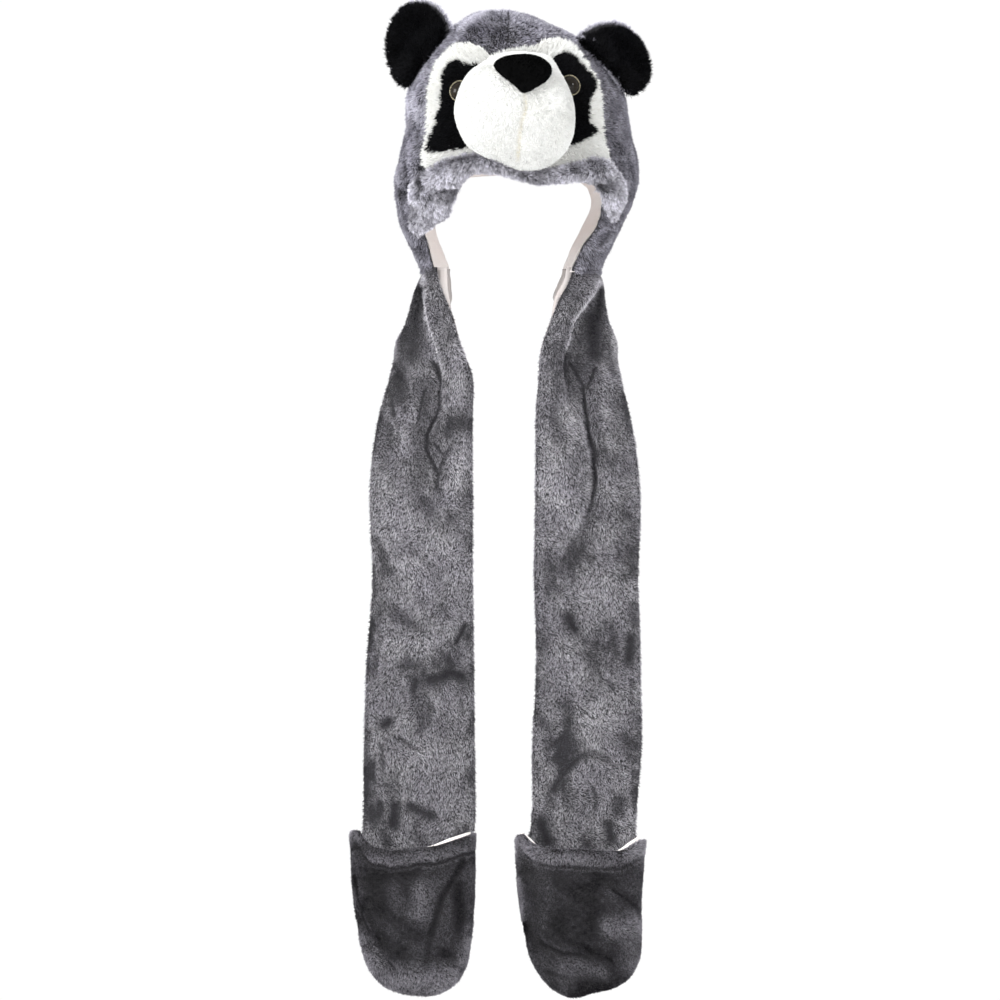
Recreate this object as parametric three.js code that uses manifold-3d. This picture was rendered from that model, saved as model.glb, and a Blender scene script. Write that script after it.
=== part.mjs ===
// A plush animal beanie: a lined hood with a raccoon-like face, two scarf flaps and two mitten pockets.
// Millimetres, +Z up, the face looking to -Y. The origin is the inside top, where a head touches it.
// Tables give places as mm across (x), mm below the origin (down) and mm of depth (y).
import * as THREE from 'three';
import { mergeVertices } from 'three/addons/utils/BufferGeometryUtils.js';
import Module from 'manifold-3d';

const wasm = await Module();
wasm.setup();

// Cloth and gaps
const PLUSH = 5; // cloth with its pile
const LINING = 1.2;
const GAP = 0.3;
const FACE_PLUSH = 3; // cropped pile of the face panel
const HOOD_ROUNDNESS = 2.3; // exponent of the hood's oval sections
const REACH = 250; // how far the cutting prisms reach

// Hood sections: extents of each oval at its height
const HOOD_TOP = { down: -6.6, x: -3, y: 4 };
const HOOD_ROWS = [
  { down: -4.5, left: -30, right: 9, front: -30, rear: 36 },
  { down: -2, left: -37, right: 17, front: -42, rear: 48 },
  { down: 2, left: -43, right: 31, front: -55, rear: 62 },
  { down: 7, left: -52, right: 45, front: -67, rear: 75 },
  { down: 17, left: -65, right: 65, front: -81, rear: 90 },
  { down: 34, left: -80, right: 89, front: -94, rear: 102 },
  { down: 54, left: -93, right: 106, front: -102, rear: 110 },
  { down: 74, left: -100, right: 116, front: -107, rear: 114 },
  { down: 94, left: -104, right: 120, front: -109, rear: 116 },
  { down: 114, left: -102, right: 123, front: -110, rear: 117 },
  { down: 134, left: -108, right: 129, front: -109, rear: 116 },
  { down: 154, left: -113, right: 133, front: -106, rear: 113 },
  { down: 174, left: -114, right: 131, front: -101, rear: 108 },
  { down: 194, left: -112, right: 123, front: -94, rear: 101 },
  { down: 214, left: -107, right: 113, front: -82, rear: 86 },
  { down: 234, left: -97.5, right: 103, front: -69, rear: 71 },
  { down: 254, left: -86, right: 92.5, front: -58, rear: 60 },
  { down: 274, left: -84, right: 89, front: -50, rear: 52 },
  { down: 294, left: -84, right: 89, front: -46, rear: 48 },
];
const HOOD_DOWNS = [-4.5, 1, 11, 28, 52, 80, 110, 138, 162, 186, 210, 236, 262, 290];
const HOOD_SIDES = 24;
const HOOD_HEM = 256; // bottom of the ear flaps, where the scarf flaps are sewn on
const BELOW_HOOD = 400; // the hem's cutting prism ends here
const FLAP_TOP = HOOD_HEM + GAP;

// Side hem seen from the side: [y, down] from the ear flap's rear corner up to the nape
const SIDE_HEM = [
  [43, HOOD_HEM], [49, 239], [61, 215], [71.5, 198], [80, 180], [87, 168], [96, 160], [112, 156],
];
const LINING_HEM = 1; // how far before the plush's rear hem the lining ends

// Face opening seen from the front: [x, down], from its left foot round to its right foot
const OPENING = [
  [-62, 290], [-64, 273], [-74, 250], [-79, 229.5], [-83, 216.5], [-76, 208], [-69, 200], [-60.5, 193.5],
  [-52, 183.5], [-48, 172], [-44, 161], [-32, 158], [-16, 157.5], [-1, 159.5], [14, 162.5], [29.5, 167],
  [44.5, 167], [59.5, 163], [77.5, 163], [89.5, 169.5], [93.5, 183], [91.5, 200], [86, 214.5], [74, 229.5],
  [62, 255], [58, 267], [54, 290],
];

// Rolled brow band: places along it, half its height, and how far it stands out
const BAND_ROWS = [
  { x: -89, down: 219.5, half: 2, out: 4 },
  { x: -88, down: 207.5, half: 11, out: 9 },
  { x: -80.5, down: 192, half: 21, out: 12 },
  { x: -73.5, down: 176.5, half: 24, out: 13 },
  { x: -58.5, down: 161, half: 16, out: 13 },
  { x: -40, down: 150.5, half: 10.5, out: 13 },
  { x: -18, down: 148, half: 10.5, out: 14 },
  { x: -1, down: 153.5, half: 8, out: 13 },
  { x: 16, down: 159.5, half: 6.5, out: 11 },
  { x: 32.5, down: 162, half: 7.5, out: 11 },
  { x: 51.5, down: 160, half: 8.5, out: 11 },
  { x: 71.5, down: 156.5, half: 9.5, out: 12 },
  { x: 91.5, down: 158, half: 14, out: 12 },
  { x: 103.5, down: 173.5, half: 13, out: 12 },
  { x: 104.5, down: 190, half: 10, out: 10 },
  { x: 104, down: 201.5, half: 2, out: 4 },
];
const BAND_STEPS = 26;
const BAND_SIDES = 8;

// Face panel and patches seen from the front: [x, down]
const MASK = [
  [-15, 41.5], [-23, 36.5], [-30, 32], [-42, 29], [-51, 31], [-59, 35.5], [-67, 43.5], [-73, 54.5],
  [-78, 72.5], [-79.5, 92.5], [-80.5, 110.5], [-81.5, 124.5], [-83.5, 133.5], [-85.5, 146], [-77.5, 155.5],
  [-58.5, 154], [-40, 149.5], [-18, 148.5], [-1, 153.5], [16, 159.5], [32.5, 161.5], [51.5, 159],
  [71.5, 156], [97.5, 151.5], [99.5, 139.5], [94.5, 123.5], [93.5, 105.5], [92.5, 85.5], [88.5, 66.5],
  [79.5, 51.5], [71, 38.5], [60, 28.5], [47, 26], [34, 28], [26, 33.5], [6, 35.5],
];
const PATCHES = {
  left: [
    [-64.5, 70], [-64, 60], [-57.5, 49], [-48, 46], [-39, 51.5], [-28, 52.5], [-24, 73], [-27, 95],
    [-27, 114.5], [-30, 131.5], [-78, 138.5], [-77.5, 124.5], [-72, 110.5], [-70, 98], [-67, 93], [-65, 75],
  ],
  right: [
    [38.5, 48.5], [47.5, 41], [56.5, 39.5], [65.5, 43], [74, 52], [82.5, 60.5], [86, 70.5], [84.5, 80],
    [81, 85], [80.5, 98], [82, 108], [88, 120], [62.5, 131.5], [43.5, 136.5], [37.5, 115], [37.5, 93],
    [35.5, 73], [34.5, 55],
  ],
};

// Muzzle sections: a ball of plush pressed against the face, its nose end high
const MUZZLE_ROWS = [
  { down: 41, left: -2, right: 28, front: -120, rear: -88 },
  { down: 44, left: -14, right: 39, front: -141, rear: -88 },
  { down: 50, left: -24.5, right: 46, front: -155, rear: -88 },
  { down: 60, left: -38.5, right: 52, front: -166, rear: -88 },
  { down: 76, left: -48.5, right: 60, front: -172, rear: -88 },
  { down: 94, left: -53, right: 66, front: -172, rear: -88 },
  { down: 109, left: -51.5, right: 67, front: -167, rear: -88 },
  { down: 122, left: -47.5, right: 65, front: -158, rear: -89 },
  { down: 135, left: -38, right: 60, front: -146, rear: -90 },
  { down: 146, left: -19, right: 50, front: -132, rear: -92 },
  { down: 155, left: 0, right: 36, front: -120, rear: -94 },
];
const MUZZLE_SIDES = 24;
const MUZZLE_ROUNDNESS = 2.15;
const MUZZLE_TOP = { x: 13, down: 40, y: -102 };
const MUZZLE_FOOT = { x: 18, down: 158, y: -108 };
const SEAM = { from: 86, to: 152, depth: 5 }; // sewn groove down the muzzle's front
const NOSE = [
  [-13.9, 55.3], [-8.6, 49], [1.1, 45.8], [13.9, 44.3], [26.7, 45.4], [36.3, 50.1], [42.7, 57.5],
  [41.7, 64], [36.3, 71.4], [27.8, 76.8], [15, 82.7], [7.5, 75.7], [-1.1, 69.3], [-8.6, 62.9],
];
const NOSE_RISE = 7;
const NOSE_BACK = -139; // the nose pad ends here on top of the muzzle

// Eyes: plastic domes with a thin rim, on the face panel
const EYES = {
  left: { x: -48.3, down: 78.3, radius: 9.2, rise: 5.5 },
  right: { x: 62.4, down: 73, radius: 9.2, rise: 5.5 },
};
const EYE_RING = { inner: 9.5, outer: 10.9, rise: 1.7 };
const EYE_LIFT = FACE_PLUSH + 2 * GAP; // the eyes stand this far off the hood, on the face panel
const EYE_SIDES = 14;

// Ears: padded ovals sewn to the hood, black before and grey behind, the grey over the rim's upper side.
// across and up are radii, and lean, turn and nod are degrees about y, z and x.
const EARS = {
  left: {
    x: -90, down: 30, y: -26, across: 34, up: 43, lean: 4, turn: 16, nod: 10, backX: 4, backUp: 2,
  },
  right: {
    x: 107, down: 47, y: -26, across: 38, up: 36, lean: -38, turn: -10, nod: 18, backX: -4, backUp: 5,
  },
};
const EAR_FRONT = 9;
const EAR_BACK = 12;
const EAR_BACK_WIDER = 1.05;
const EAR_SIDES = 16;

// Flaps: places of five lines that run down each flap, from its front edge to its outer edge.
// In and Out are mm from the middle, Fold, mid and edge are shares of that width, back is how far the line
// behind the fold lies from it in the same shares, and y is each line's depth.
const FLAP_ROWS = [
  { down: 256.3, leftIn: 69.5, leftOut: 86, rightIn: 62.5, rightOut: 91.5,
    leftFold: 0.75, rightFold: 0.8, back: 0.25, mid: 0.6, edge: -0.45, y: [-38, -26, 0, 28, 43] },
  { down: 269.3, leftIn: 67, leftOut: 92, rightIn: 58, rightOut: 94,
    leftFold: 0.63, rightFold: 0.8, back: 0.2, mid: 1, edge: -0.35, y: [-42, -35, -10, 14, 44] },
  { down: 284, leftIn: 62, leftOut: 96, rightIn: 51.5, rightOut: 97,
    leftFold: 0.6, rightFold: 0.61, back: 0.02, mid: 1, edge: -0.15, y: [-44, -41, -20, 6, 45] },
  { down: 304, leftIn: 56, leftOut: 102, rightIn: 45, rightOut: 101,
    leftFold: 0.53, rightFold: 0.4, back: -0.04, mid: 0.95, edge: 0.45, y: [-45, -45, -28, -4, 36] },
  { down: 324, leftIn: 49, leftOut: 109, rightIn: 36, rightOut: 105,
    leftFold: 0.41, rightFold: 0.36, back: -0.05, mid: 0.85, edge: 0.95, y: [-42, -45, -31, -10, 24] },
  { down: 344, leftIn: 41, leftOut: 116, rightIn: 31, rightOut: 111,
    leftFold: 0.36, rightFold: 0.3, back: -0.03, mid: 0.75, edge: 1, y: [-37, -42, -30, -14, 10] },
  { down: 364, leftIn: 34, leftOut: 122, rightIn: 30, rightOut: 116,
    leftFold: 0.34, rightFold: 0.29, back: 0.04, mid: 0.71, edge: 1, y: [-32, -38, -28, -17, 0] },
  { down: 394, leftIn: 34, leftOut: 130, rightIn: 27, rightOut: 123,
    leftFold: 0.31, rightFold: 0.28, back: 0.14, mid: 0.73, edge: 1, y: [-26, -33, -25, -18, -7] },
  { down: 434, leftIn: 34, leftOut: 137, rightIn: 26, rightOut: 130,
    leftFold: 0.29, rightFold: 0.29, back: 0.19, mid: 0.74, edge: 1, y: [-20, -27, -22, -18, -11] },
  { down: 484, leftIn: 34, leftOut: 140, rightIn: 26, rightOut: 134,
    leftFold: 0.25, rightFold: 0.25, back: 0.25, mid: 0.75, edge: 1, y: [-15, -19, -19, -17, -13] },
  { down: 564, leftIn: 34, leftOut: 137, rightIn: 25, rightOut: 132,
    leftFold: 0.25, rightFold: 0.25, back: 0.25, mid: 0.75, edge: 1, y: [-11, -14, -15, -14, -11] },
  { down: 644, leftIn: 33, leftOut: 143, rightIn: 27, rightOut: 134,
    leftFold: 0.25, rightFold: 0.25, back: 0.25, mid: 0.75, edge: 1, y: [-10, -13, -14, -13, -10] },
  { down: 734, leftIn: 32, leftOut: 146, rightIn: 23, rightOut: 135,
    leftFold: 0.25, rightFold: 0.25, back: 0.25, mid: 0.75, edge: 1, y: [-11, -14, -15, -14, -11] },
  { down: 814, leftIn: 32, leftOut: 147, rightIn: 22, rightOut: 129,
    leftFold: 0.25, rightFold: 0.25, back: 0.25, mid: 0.75, edge: 1, y: [-12, -13, -13, -13, -12] },
  { down: 834, leftIn: 38, leftOut: 152, rightIn: 13, rightOut: 132,
    leftFold: 0.25, rightFold: 0.25, back: 0.25, mid: 0.75, edge: 1, y: [-12, -12, -12, -12, -12] },
  { down: 884, leftIn: 39, leftOut: 150, rightIn: 16, rightOut: 129,
    leftFold: 0.25, rightFold: 0.25, back: 0.25, mid: 0.75, edge: 1, y: [-12, -12, -12, -12, -12] },
  { down: 914, leftIn: 41, leftOut: 146, rightIn: 20, rightOut: 129,
    leftFold: 0.25, rightFold: 0.25, back: 0.25, mid: 0.75, edge: 1, y: [-12, -12, -12, -12, -12] },
  { down: 944, leftIn: 45, leftOut: 139, rightIn: 28, rightOut: 127,
    leftFold: 0.25, rightFold: 0.25, back: 0.25, mid: 0.75, edge: 1, y: [-12, -12, -12, -12, -12] },
  { down: 964, leftIn: 53, leftOut: 127, rightIn: 38, rightOut: 117,
    leftFold: 0.25, rightFold: 0.25, back: 0.25, mid: 0.75, edge: 1, y: [-12, -12, -12, -12, -12] },
  { down: 972, leftIn: 62, leftOut: 117, rightIn: 48, rightOut: 102,
    leftFold: 0.25, rightFold: 0.25, back: 0.25, mid: 0.75, edge: 1, y: [-12, -12, -12, -12, -12] },
];
const FLAP_DOWNS = [
  250, 266, 280, 296, 312, 330, 350, 374, 402, 436, 480, 536, 604, 672, 740, 810, 836, 890, 930, 958, 972,
];
const FLAP_ACROSS = 8;
const FLAP_WIDTH = 110;
const LINING_INSET = 1.5;

// Creases pressed into the flaps' fronts: a line from one place to another, its half width and depth
const CREASES = {
  left: [
    { x0: 68, down0: 380, x1: 79, down1: 416, half: 9, depth: 4 },
    { x0: 86, down0: 380, x1: 91, down1: 425, half: 9, depth: 4 },
    { x0: 72, down0: 420, x1: 66, down1: 470, half: 10, depth: 4 },
    { x0: 44, down0: 676, x1: 66, down1: 664, half: 14, depth: 4 },
    { x0: 92, down0: 655, x1: 110, down1: 668, half: 14, depth: 4 },
    { x0: 104, down0: 790, x1: 122, down1: 745, half: 12, depth: 4 },
  ],
  right: [
    { x0: 69, down0: 369, x1: 84, down1: 440, half: 10, depth: 9 },
    { x0: 84, down0: 440, x1: 79, down1: 501, half: 10, depth: 9 },
    { x0: 79, down0: 501, x1: 62, down1: 540, half: 11, depth: 6 },
    { x0: 60, down0: 614, x1: 76, down1: 600, half: 14, depth: 4 },
    { x0: 77, down0: 749, x1: 40, down1: 786, half: 12, depth: 5 },
    { x0: 116, down0: 628, x1: 130, down1: 610, half: 12, depth: 4 },
  ],
};

// Mitten pockets: extents of each section across, and its depth before the flap's back
const POCKETS = {
  left: {
    rows: [
      { down: 800, left: -159, right: -32, depth: 37 },
      { down: 834, left: -159, right: -32, depth: 38 },
      { down: 860, left: -158, right: -32, depth: 41 },
      { down: 884, left: -156, right: -33, depth: 41 },
      { down: 914, left: -151.5, right: -35, depth: 38 },
      { down: 944, left: -145, right: -39, depth: 31 },
      { down: 964, left: -134, right: -47, depth: 23 },
      { down: 974, left: -122, right: -58, depth: 16 },
      { down: 980, left: -106, right: -72, depth: 9 },
    ],
    mouth: [
      [-170, 820], [-158, 819], [-154, 815], [-148, 815], [-145, 822], [-136, 831], [-117, 835], [-92, 832],
      [-72, 830], [-53, 824], [-37, 819], [-20, 816],
    ],
    liningMouth: [[-170, 826], [-136, 836], [-100, 836], [-74, 828], [-60, 820], [-42, 815], [-20, 812]],
  },
  right: {
    rows: [
      { down: 800, left: 7, right: 137, depth: 37 },
      { down: 834, left: 7, right: 138, depth: 38 },
      { down: 860, left: 8, right: 136, depth: 41 },
      { down: 884, left: 10, right: 135, depth: 41 },
      { down: 914, left: 14.5, right: 134.5, depth: 38 },
      { down: 944, left: 22, right: 133, depth: 31 },
      { down: 964, left: 33, right: 123, depth: 23 },
      { down: 974, left: 42, right: 108, depth: 16 },
      { down: 981, left: 54, right: 80, depth: 9 },
    ],
    mouth: [
      [-5, 822], [7, 826], [11, 820], [17, 819], [24, 827], [43, 833], [68, 833], [94, 835], [113, 835],
      [130, 826], [138, 825], [150, 822],
    ],
    liningMouth: [[-5, 816], [13, 816], [28, 825], [60, 834], [100, 833], [116, 828], [132, 820], [150, 816]],
  },
};
const POCKET_BACK = -5.3; // depth of the flap lining's back face
const FLAP_END = 810; // the flap lies flat in its pocket below here
const FLAP_FRONT = -13.6; // and nothing of the pocket reaches behind this depth over it
const ABOVE_POCKET = 700; // the mouth's cutting prism starts here
const OPEN_BACK = 20; // how far the hollow reaches behind a pocket, so that its back is open
const THINNEST = 1.5; // what a pocket's section keeps of its depth
const POCKET_SIDES = 14;
const POCKET_ROUNDNESS = 2.6;

const MATERIALS = {
  greyPlush: { color: 0x77757e, roughness: 0.95 },
  pocketPlush: { color: 0x57535b, roughness: 0.95 },
  whitePlush: { color: 0xf6f5f0, roughness: 0.95 },
  blackPlush: { color: 0x141316, roughness: 0.9 },
  noseFelt: { color: 0x0d0c0e, roughness: 0.85 },
  liningCloth: { color: 0xe4d9d4, roughness: 0.8 },
  eyePlastic: { color: 0x1a120c, roughness: 0.12 },
  rimPlastic: { color: 0xd2c396, roughness: 0.2 },
};

// Cubic interpolation of one column of a table at a value of its first column
function valueAt(rows, key, read, at) {
  const last = rows.length - 1;
  let i = 0;
  while (i < last - 1 && rows[i + 1][key] < at) i += 1;
  const a = rows[Math.max(i - 1, 0)];
  const b = rows[i];
  const c = rows[i + 1];
  const d = rows[Math.min(i + 2, last)];
  const span = c[key] - b[key];
  const t = Math.min(Math.max((at - b[key]) / span, 0), 1);
  const slopeB = (read(c) - read(a)) / Math.max(c[key] - a[key], 1e-6);
  const slopeC = (read(d) - read(b)) / Math.max(d[key] - b[key], 1e-6);
  const t2 = t * t;
  const t3 = t2 * t;
  return read(b) * (2 * t3 - 3 * t2 + 1) + read(c) * (3 * t2 - 2 * t3)
    + slopeB * span * (t3 - 2 * t2 + t) + slopeC * span * (t3 - t2);
}

function geometryFrom(points, triangles) {
  const geometry = new THREE.BufferGeometry();
  const places = points.flatMap((p) => [p.x, p.y, p.z]);
  geometry.setAttribute('position', new THREE.Float32BufferAttribute(places, 3));
  geometry.setIndex(triangles);
  return geometry;
}

// A closed body through rings of points, from its top ring down, with a point beyond each end
function loftedBody(rings, top, foot) {
  const sides = rings[0].length;
  const points = [...rings.flat(), top, foot];
  const triangles = [];
  for (let row = 0; row < rings.length - 1; row += 1) {
    for (let side = 0; side < sides; side += 1) {
      const next = (side + 1) % sides;
      const a = row * sides + side;
      const b = row * sides + next;
      triangles.push(a, a + sides, b, b, a + sides, b + sides);
    }
  }
  const lastRing = (rings.length - 1) * sides;
  for (let side = 0; side < sides; side += 1) {
    const next = (side + 1) % sides;
    triangles.push(points.length - 2, side, next);
    triangles.push(points.length - 1, lastRing + next, lastRing + side);
  }
  return geometryFrom(points, triangles);
}

// A closed sheet between an outer grid and an inner grid of points, rows running down
function sheetBody(outer, inner) {
  const rows = outer.length;
  const across = outer[0].length;
  const points = [...outer.flat(), ...inner.flat()];
  const back = rows * across;
  const triangles = [];
  const quad = (a, b, c, d) => triangles.push(a, b, c, a, c, d);
  for (let row = 0; row < rows - 1; row += 1) {
    for (let i = 0; i < across - 1; i += 1) {
      const a = row * across + i;
      quad(a, a + 1, a + across + 1, a + across);
      quad(back + a, back + a + across, back + a + across + 1, back + a + 1);
    }
    const first = row * across;
    const end = first + across - 1;
    quad(first, first + across, back + first + across, back + first);
    quad(end, back + end, back + end + across, end + across);
  }
  const foot = (rows - 1) * across;
  for (let i = 0; i < across - 1; i += 1) {
    quad(i, back + i, back + i + 1, i + 1);
    quad(foot + i, foot + i + 1, back + foot + i + 1, back + foot + i);
  }
  return geometryFrom(points, triangles);
}

// Six times the volume inside a closed mesh, negative where its faces point inwards
function signedVolume(geometry) {
  const { position } = geometry.attributes;
  const corner = (i) => new THREE.Vector3().fromBufferAttribute(position, geometry.index.getX(i));
  let sum = 0;
  for (let i = 0; i < geometry.index.count; i += 3) sum += corner(i).dot(corner(i + 1).cross(corner(i + 2)));
  return sum;
}

function solidOf(geometry) {
  const bare = geometry.clone();
  bare.deleteAttribute('normal');
  bare.deleteAttribute('uv');
  const merged = mergeVertices(bare, 1e-4);
  const triangles = Array.from(merged.index.array);
  if (signedVolume(merged) < 0) triangles.reverse();
  return new wasm.Manifold(new wasm.Mesh({
    numProp: 3,
    vertProperties: new Float32Array(merged.attributes.position.array),
    triVerts: new Uint32Array(triangles),
  }));
}

function geometryOf(solid) {
  const mesh = solid.getMesh();
  const geometry = new THREE.BufferGeometry();
  geometry.setAttribute('position', new THREE.Float32BufferAttribute(mesh.vertProperties, 3));
  geometry.setIndex(Array.from(mesh.triVerts));
  return geometry;
}

// An outline seen from the front, as a prism from y = near back to y = far
function frontPrism(outline, near, far) {
  const shape = new THREE.Shape(outline.map(([x, down]) => new THREE.Vector2(x, -down)));
  const prism = new THREE.ExtrudeGeometry(shape, { depth: far - near, bevelEnabled: false });
  prism.rotateX(Math.PI / 2);
  prism.translate(0, far, 0);
  return solidOf(prism);
}

// An outline seen from the side, given as [y, down], as a prism across the whole part
function sidePrism(outline) {
  const shape = new THREE.Shape(outline.map(([y, down]) => new THREE.Vector2(y, -down)));
  const prism = new THREE.ExtrudeGeometry(shape, { depth: 2 * REACH, bevelEnabled: false });
  prism.rotateY(Math.PI / 2);
  prism.rotateX(Math.PI / 2);
  prism.translate(-REACH, 0, 0);
  return solidOf(prism);
}

// An outline moved outwards by a distance, or inwards by a negative one
function grown(outline, distance) {
  const turn = Math.sign(THREE.ShapeUtils.area(outline.map(([x, down]) => new THREE.Vector2(x, down))));
  return outline.map(([x, down], i) => {
    const before = outline[(i + outline.length - 1) % outline.length];
    const after = outline[(i + 1) % outline.length];
    const along = new THREE.Vector2(after[0] - before[0], after[1] - before[1]).normalize();
    return [x + turn * along.y * distance, down - turn * along.x * distance];
  });
}

function smoothClosed(outline, pointsPerSpan) {
  const curve = new THREE.CatmullRomCurve3(
    outline.map(([x, down]) => new THREE.Vector3(x, down, 0)), true, 'centripetal');
  return curve.getPoints(outline.length * pointsPerSpan).slice(0, -1).map((p) => [p.x, p.y]);
}

function power(value, exponent) {
  return Math.sign(value) * Math.abs(value) ** exponent;
}

// One oval section at a height, counter-clockwise seen from above, its front at -y
function ovalRing(extent, roundness, sides) {
  const middle = (extent.left + extent.right) / 2;
  const halfWidth = (extent.right - extent.left) / 2;
  const centre = extent.centre ?? 0;
  return Array.from({ length: sides }, (_, i) => {
    const angle = (i / sides) * 2 * Math.PI - Math.PI / 2;
    const depth = Math.sin(angle) < 0 ? centre - extent.front : extent.rear - centre;
    const x = middle + halfWidth * power(Math.cos(angle), 2 / roundness);
    const y = centre + depth * power(Math.sin(angle), 2 / roundness);
    return new THREE.Vector3(x, y, -extent.down);
  });
}

// Rings moved along their surface's normal
function swollen(rings, distance) {
  const sides = rings[0].length;
  return rings.map((ring, row) => ring.map((point, side) => {
    const above = rings[Math.max(row - 1, 0)][side];
    const below = rings[Math.min(row + 1, rings.length - 1)][side];
    const down = below.clone().sub(above);
    const round = ring[(side + 1) % sides].clone().sub(ring[(side + sides - 1) % sides]);
    const normal = down.cross(round).normalize();
    return point.clone().addScaledVector(normal, distance);
  }));
}

function hoodExtent(down) {
  const read = (name) => valueAt(HOOD_ROWS, 'down', (row) => row[name], down);
  return { down, left: read('left'), right: read('right'), front: read('front'), rear: read('rear') };
}

const hoodRings = HOOD_DOWNS.map((down) => ovalRing(hoodExtent(down), HOOD_ROUNDNESS, HOOD_SIDES));

// The hood's full closed form, swollen by a distance
function hoodBody(distance) {
  const top = new THREE.Vector3(HOOD_TOP.x, HOOD_TOP.y, -HOOD_TOP.down + distance);
  const foot = new THREE.Vector3(0, 0, -HOOD_DOWNS.at(-1) - 5);
  return solidOf(loftedBody(swollen(hoodRings, distance), top, foot));
}

// Depth of the hood's front at a place seen from the front
function hoodDepth(x, down) {
  const extent = hoodExtent(down);
  const middle = (extent.left + extent.right) / 2;
  const share = Math.min(Math.abs(x - middle) / ((extent.right - extent.left) / 2), 0.995);
  return extent.front * (1 - share ** HOOD_ROUNDNESS) ** (1 / HOOD_ROUNDNESS);
}

function hoodNormal(x, down) {
  const step = 2;
  const across = new THREE.Vector3(2 * step, hoodDepth(x + step, down) - hoodDepth(x - step, down), 0);
  const upward = new THREE.Vector3(0, hoodDepth(x, down - step) - hoodDepth(x, down + step), 2 * step);
  return across.cross(upward).normalize();
}

const openingCut = frontPrism(OPENING, -REACH, 0);

// Everything below the hood's hems, its rear hem moved forwards by a distance
function hemCut(forward) {
  const hem = SIDE_HEM.map(([y, down]) => [y - forward, down]);
  const nape = hem.at(-1)[1];
  return sidePrism([[-REACH, HOOD_HEM], ...hem, [REACH, nape], [REACH, BELOW_HOOD], [-REACH, BELOW_HOOD]]);
}

// A wall of the hood between two distances from its outside, cut to the opening and the hems
function hoodWall(outside, inside) {
  return hoodBody(outside).subtract(hoodBody(inside)).subtract(openingCut).subtract(hemCut(0));
}

function hoodLining() {
  const edge = frontPrism(grown(OPENING, LINING_INSET), -REACH, 0);
  return hoodWall(-PLUSH - GAP, -PLUSH - GAP - LINING).subtract(edge).subtract(hemCut(LINING_HEM));
}

// The rolled band: oval sections along its places, lying on the hood
function bandRings(swell) {
  const stations = BAND_ROWS.map((row, i) => ({ ...row, at: i }));
  const stationAt = (at) => {
    const read = (name) => valueAt(stations, 'at', (row) => row[name], at);
    const x = read('x');
    const down = read('down');
    return { place: new THREE.Vector3(x, hoodDepth(x, down), -down), normal: hoodNormal(x, down),
      half: read('half') + swell, out: read('out') + swell };
  };
  const lastAt = BAND_ROWS.length - 1;
  return Array.from({ length: BAND_STEPS + 1 }, (_, i) => {
    const at = (i / BAND_STEPS) * lastAt;
    const here = stationAt(at);
    const ahead = stationAt(Math.min(at + 0.05, lastAt)).place;
    const along = ahead.sub(stationAt(Math.max(at - 0.05, 0)).place).normalize();
    const upward = here.normal.clone().cross(along).normalize();
    return Array.from({ length: BAND_SIDES }, (_unused, side) => {
      const angle = (side / BAND_SIDES) * 2 * Math.PI;
      return here.place.clone()
        .addScaledVector(upward, here.half * Math.cos(angle))
        .addScaledVector(here.normal, here.out * Math.sin(angle));
    });
  });
}

function bandBody(swell) {
  const rings = bandRings(swell);
  const sumOf = (ring) => ring.reduce((sum, p) => sum.add(p), new THREE.Vector3());
  const middleOf = (ring) => sumOf(ring).divideScalar(ring.length);
  return solidOf(loftedBody(rings, middleOf(rings[0]), middleOf(rings.at(-1))));
}

function muzzleRings() {
  return MUZZLE_ROWS.map((row) => {
    const centre = row.front + (row.rear - row.front) * 0.55;
    const ring = ovalRing({ ...row, centre }, MUZZLE_ROUNDNESS, MUZZLE_SIDES);
    const inSeam = row.down > SEAM.from && row.down < SEAM.to;
    if (inSeam) ring[0].y += SEAM.depth;
    return ring;
  });
}

function muzzleBody(distance) {
  const top = new THREE.Vector3(MUZZLE_TOP.x, MUZZLE_TOP.y, -MUZZLE_TOP.down + distance);
  const foot = new THREE.Vector3(MUZZLE_FOOT.x, MUZZLE_FOOT.y, -MUZZLE_FOOT.down - distance);
  return solidOf(loftedBody(swollen(muzzleRings(), distance), top, foot));
}

// A round solid standing on the face panel at a place seen from the front, from a profile of [radius, height]
function seatedRound(profile, place) {
  const lathe = new THREE.LatheGeometry(profile.map(([r, h]) => new THREE.Vector2(r, h)), EYE_SIDES);
  const normal = hoodNormal(place.x, place.down);
  lathe.applyQuaternion(new THREE.Quaternion().setFromUnitVectors(new THREE.Vector3(0, 1, 0), normal));
  const foot = new THREE.Vector3(place.x, hoodDepth(place.x, place.down), -place.down)
    .addScaledVector(normal, EYE_LIFT);
  lathe.translate(foot.x, foot.y, foot.z);
  return lathe;
}

function eyeProfile(eye) {
  const arc = Array.from({ length: 3 }, (_, i) => {
    const angle = (i / 3) * (Math.PI / 2);
    return [eye.radius * Math.cos(angle), 0.8 + (eye.rise - 0.8) * Math.sin(angle)];
  });
  return [[0, 0], [eye.radius, 0], ...arc, [0, eye.rise]];
}

function ringProfile() {
  const { inner, outer, rise } = EYE_RING;
  return [[inner, 0], [outer, 0], [outer, rise * 0.7], [inner, rise], [inner, 0]];
}

// The room that an eye and its ring take out of the muzzle beside them
function eyeRoom(eye) {
  const radius = EYE_RING.outer + 2 * GAP;
  const height = eye.rise + GAP;
  return solidOf(seatedRound([[0, -GAP], [radius, -GAP], [radius, height], [0, height]], eye));
}

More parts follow.
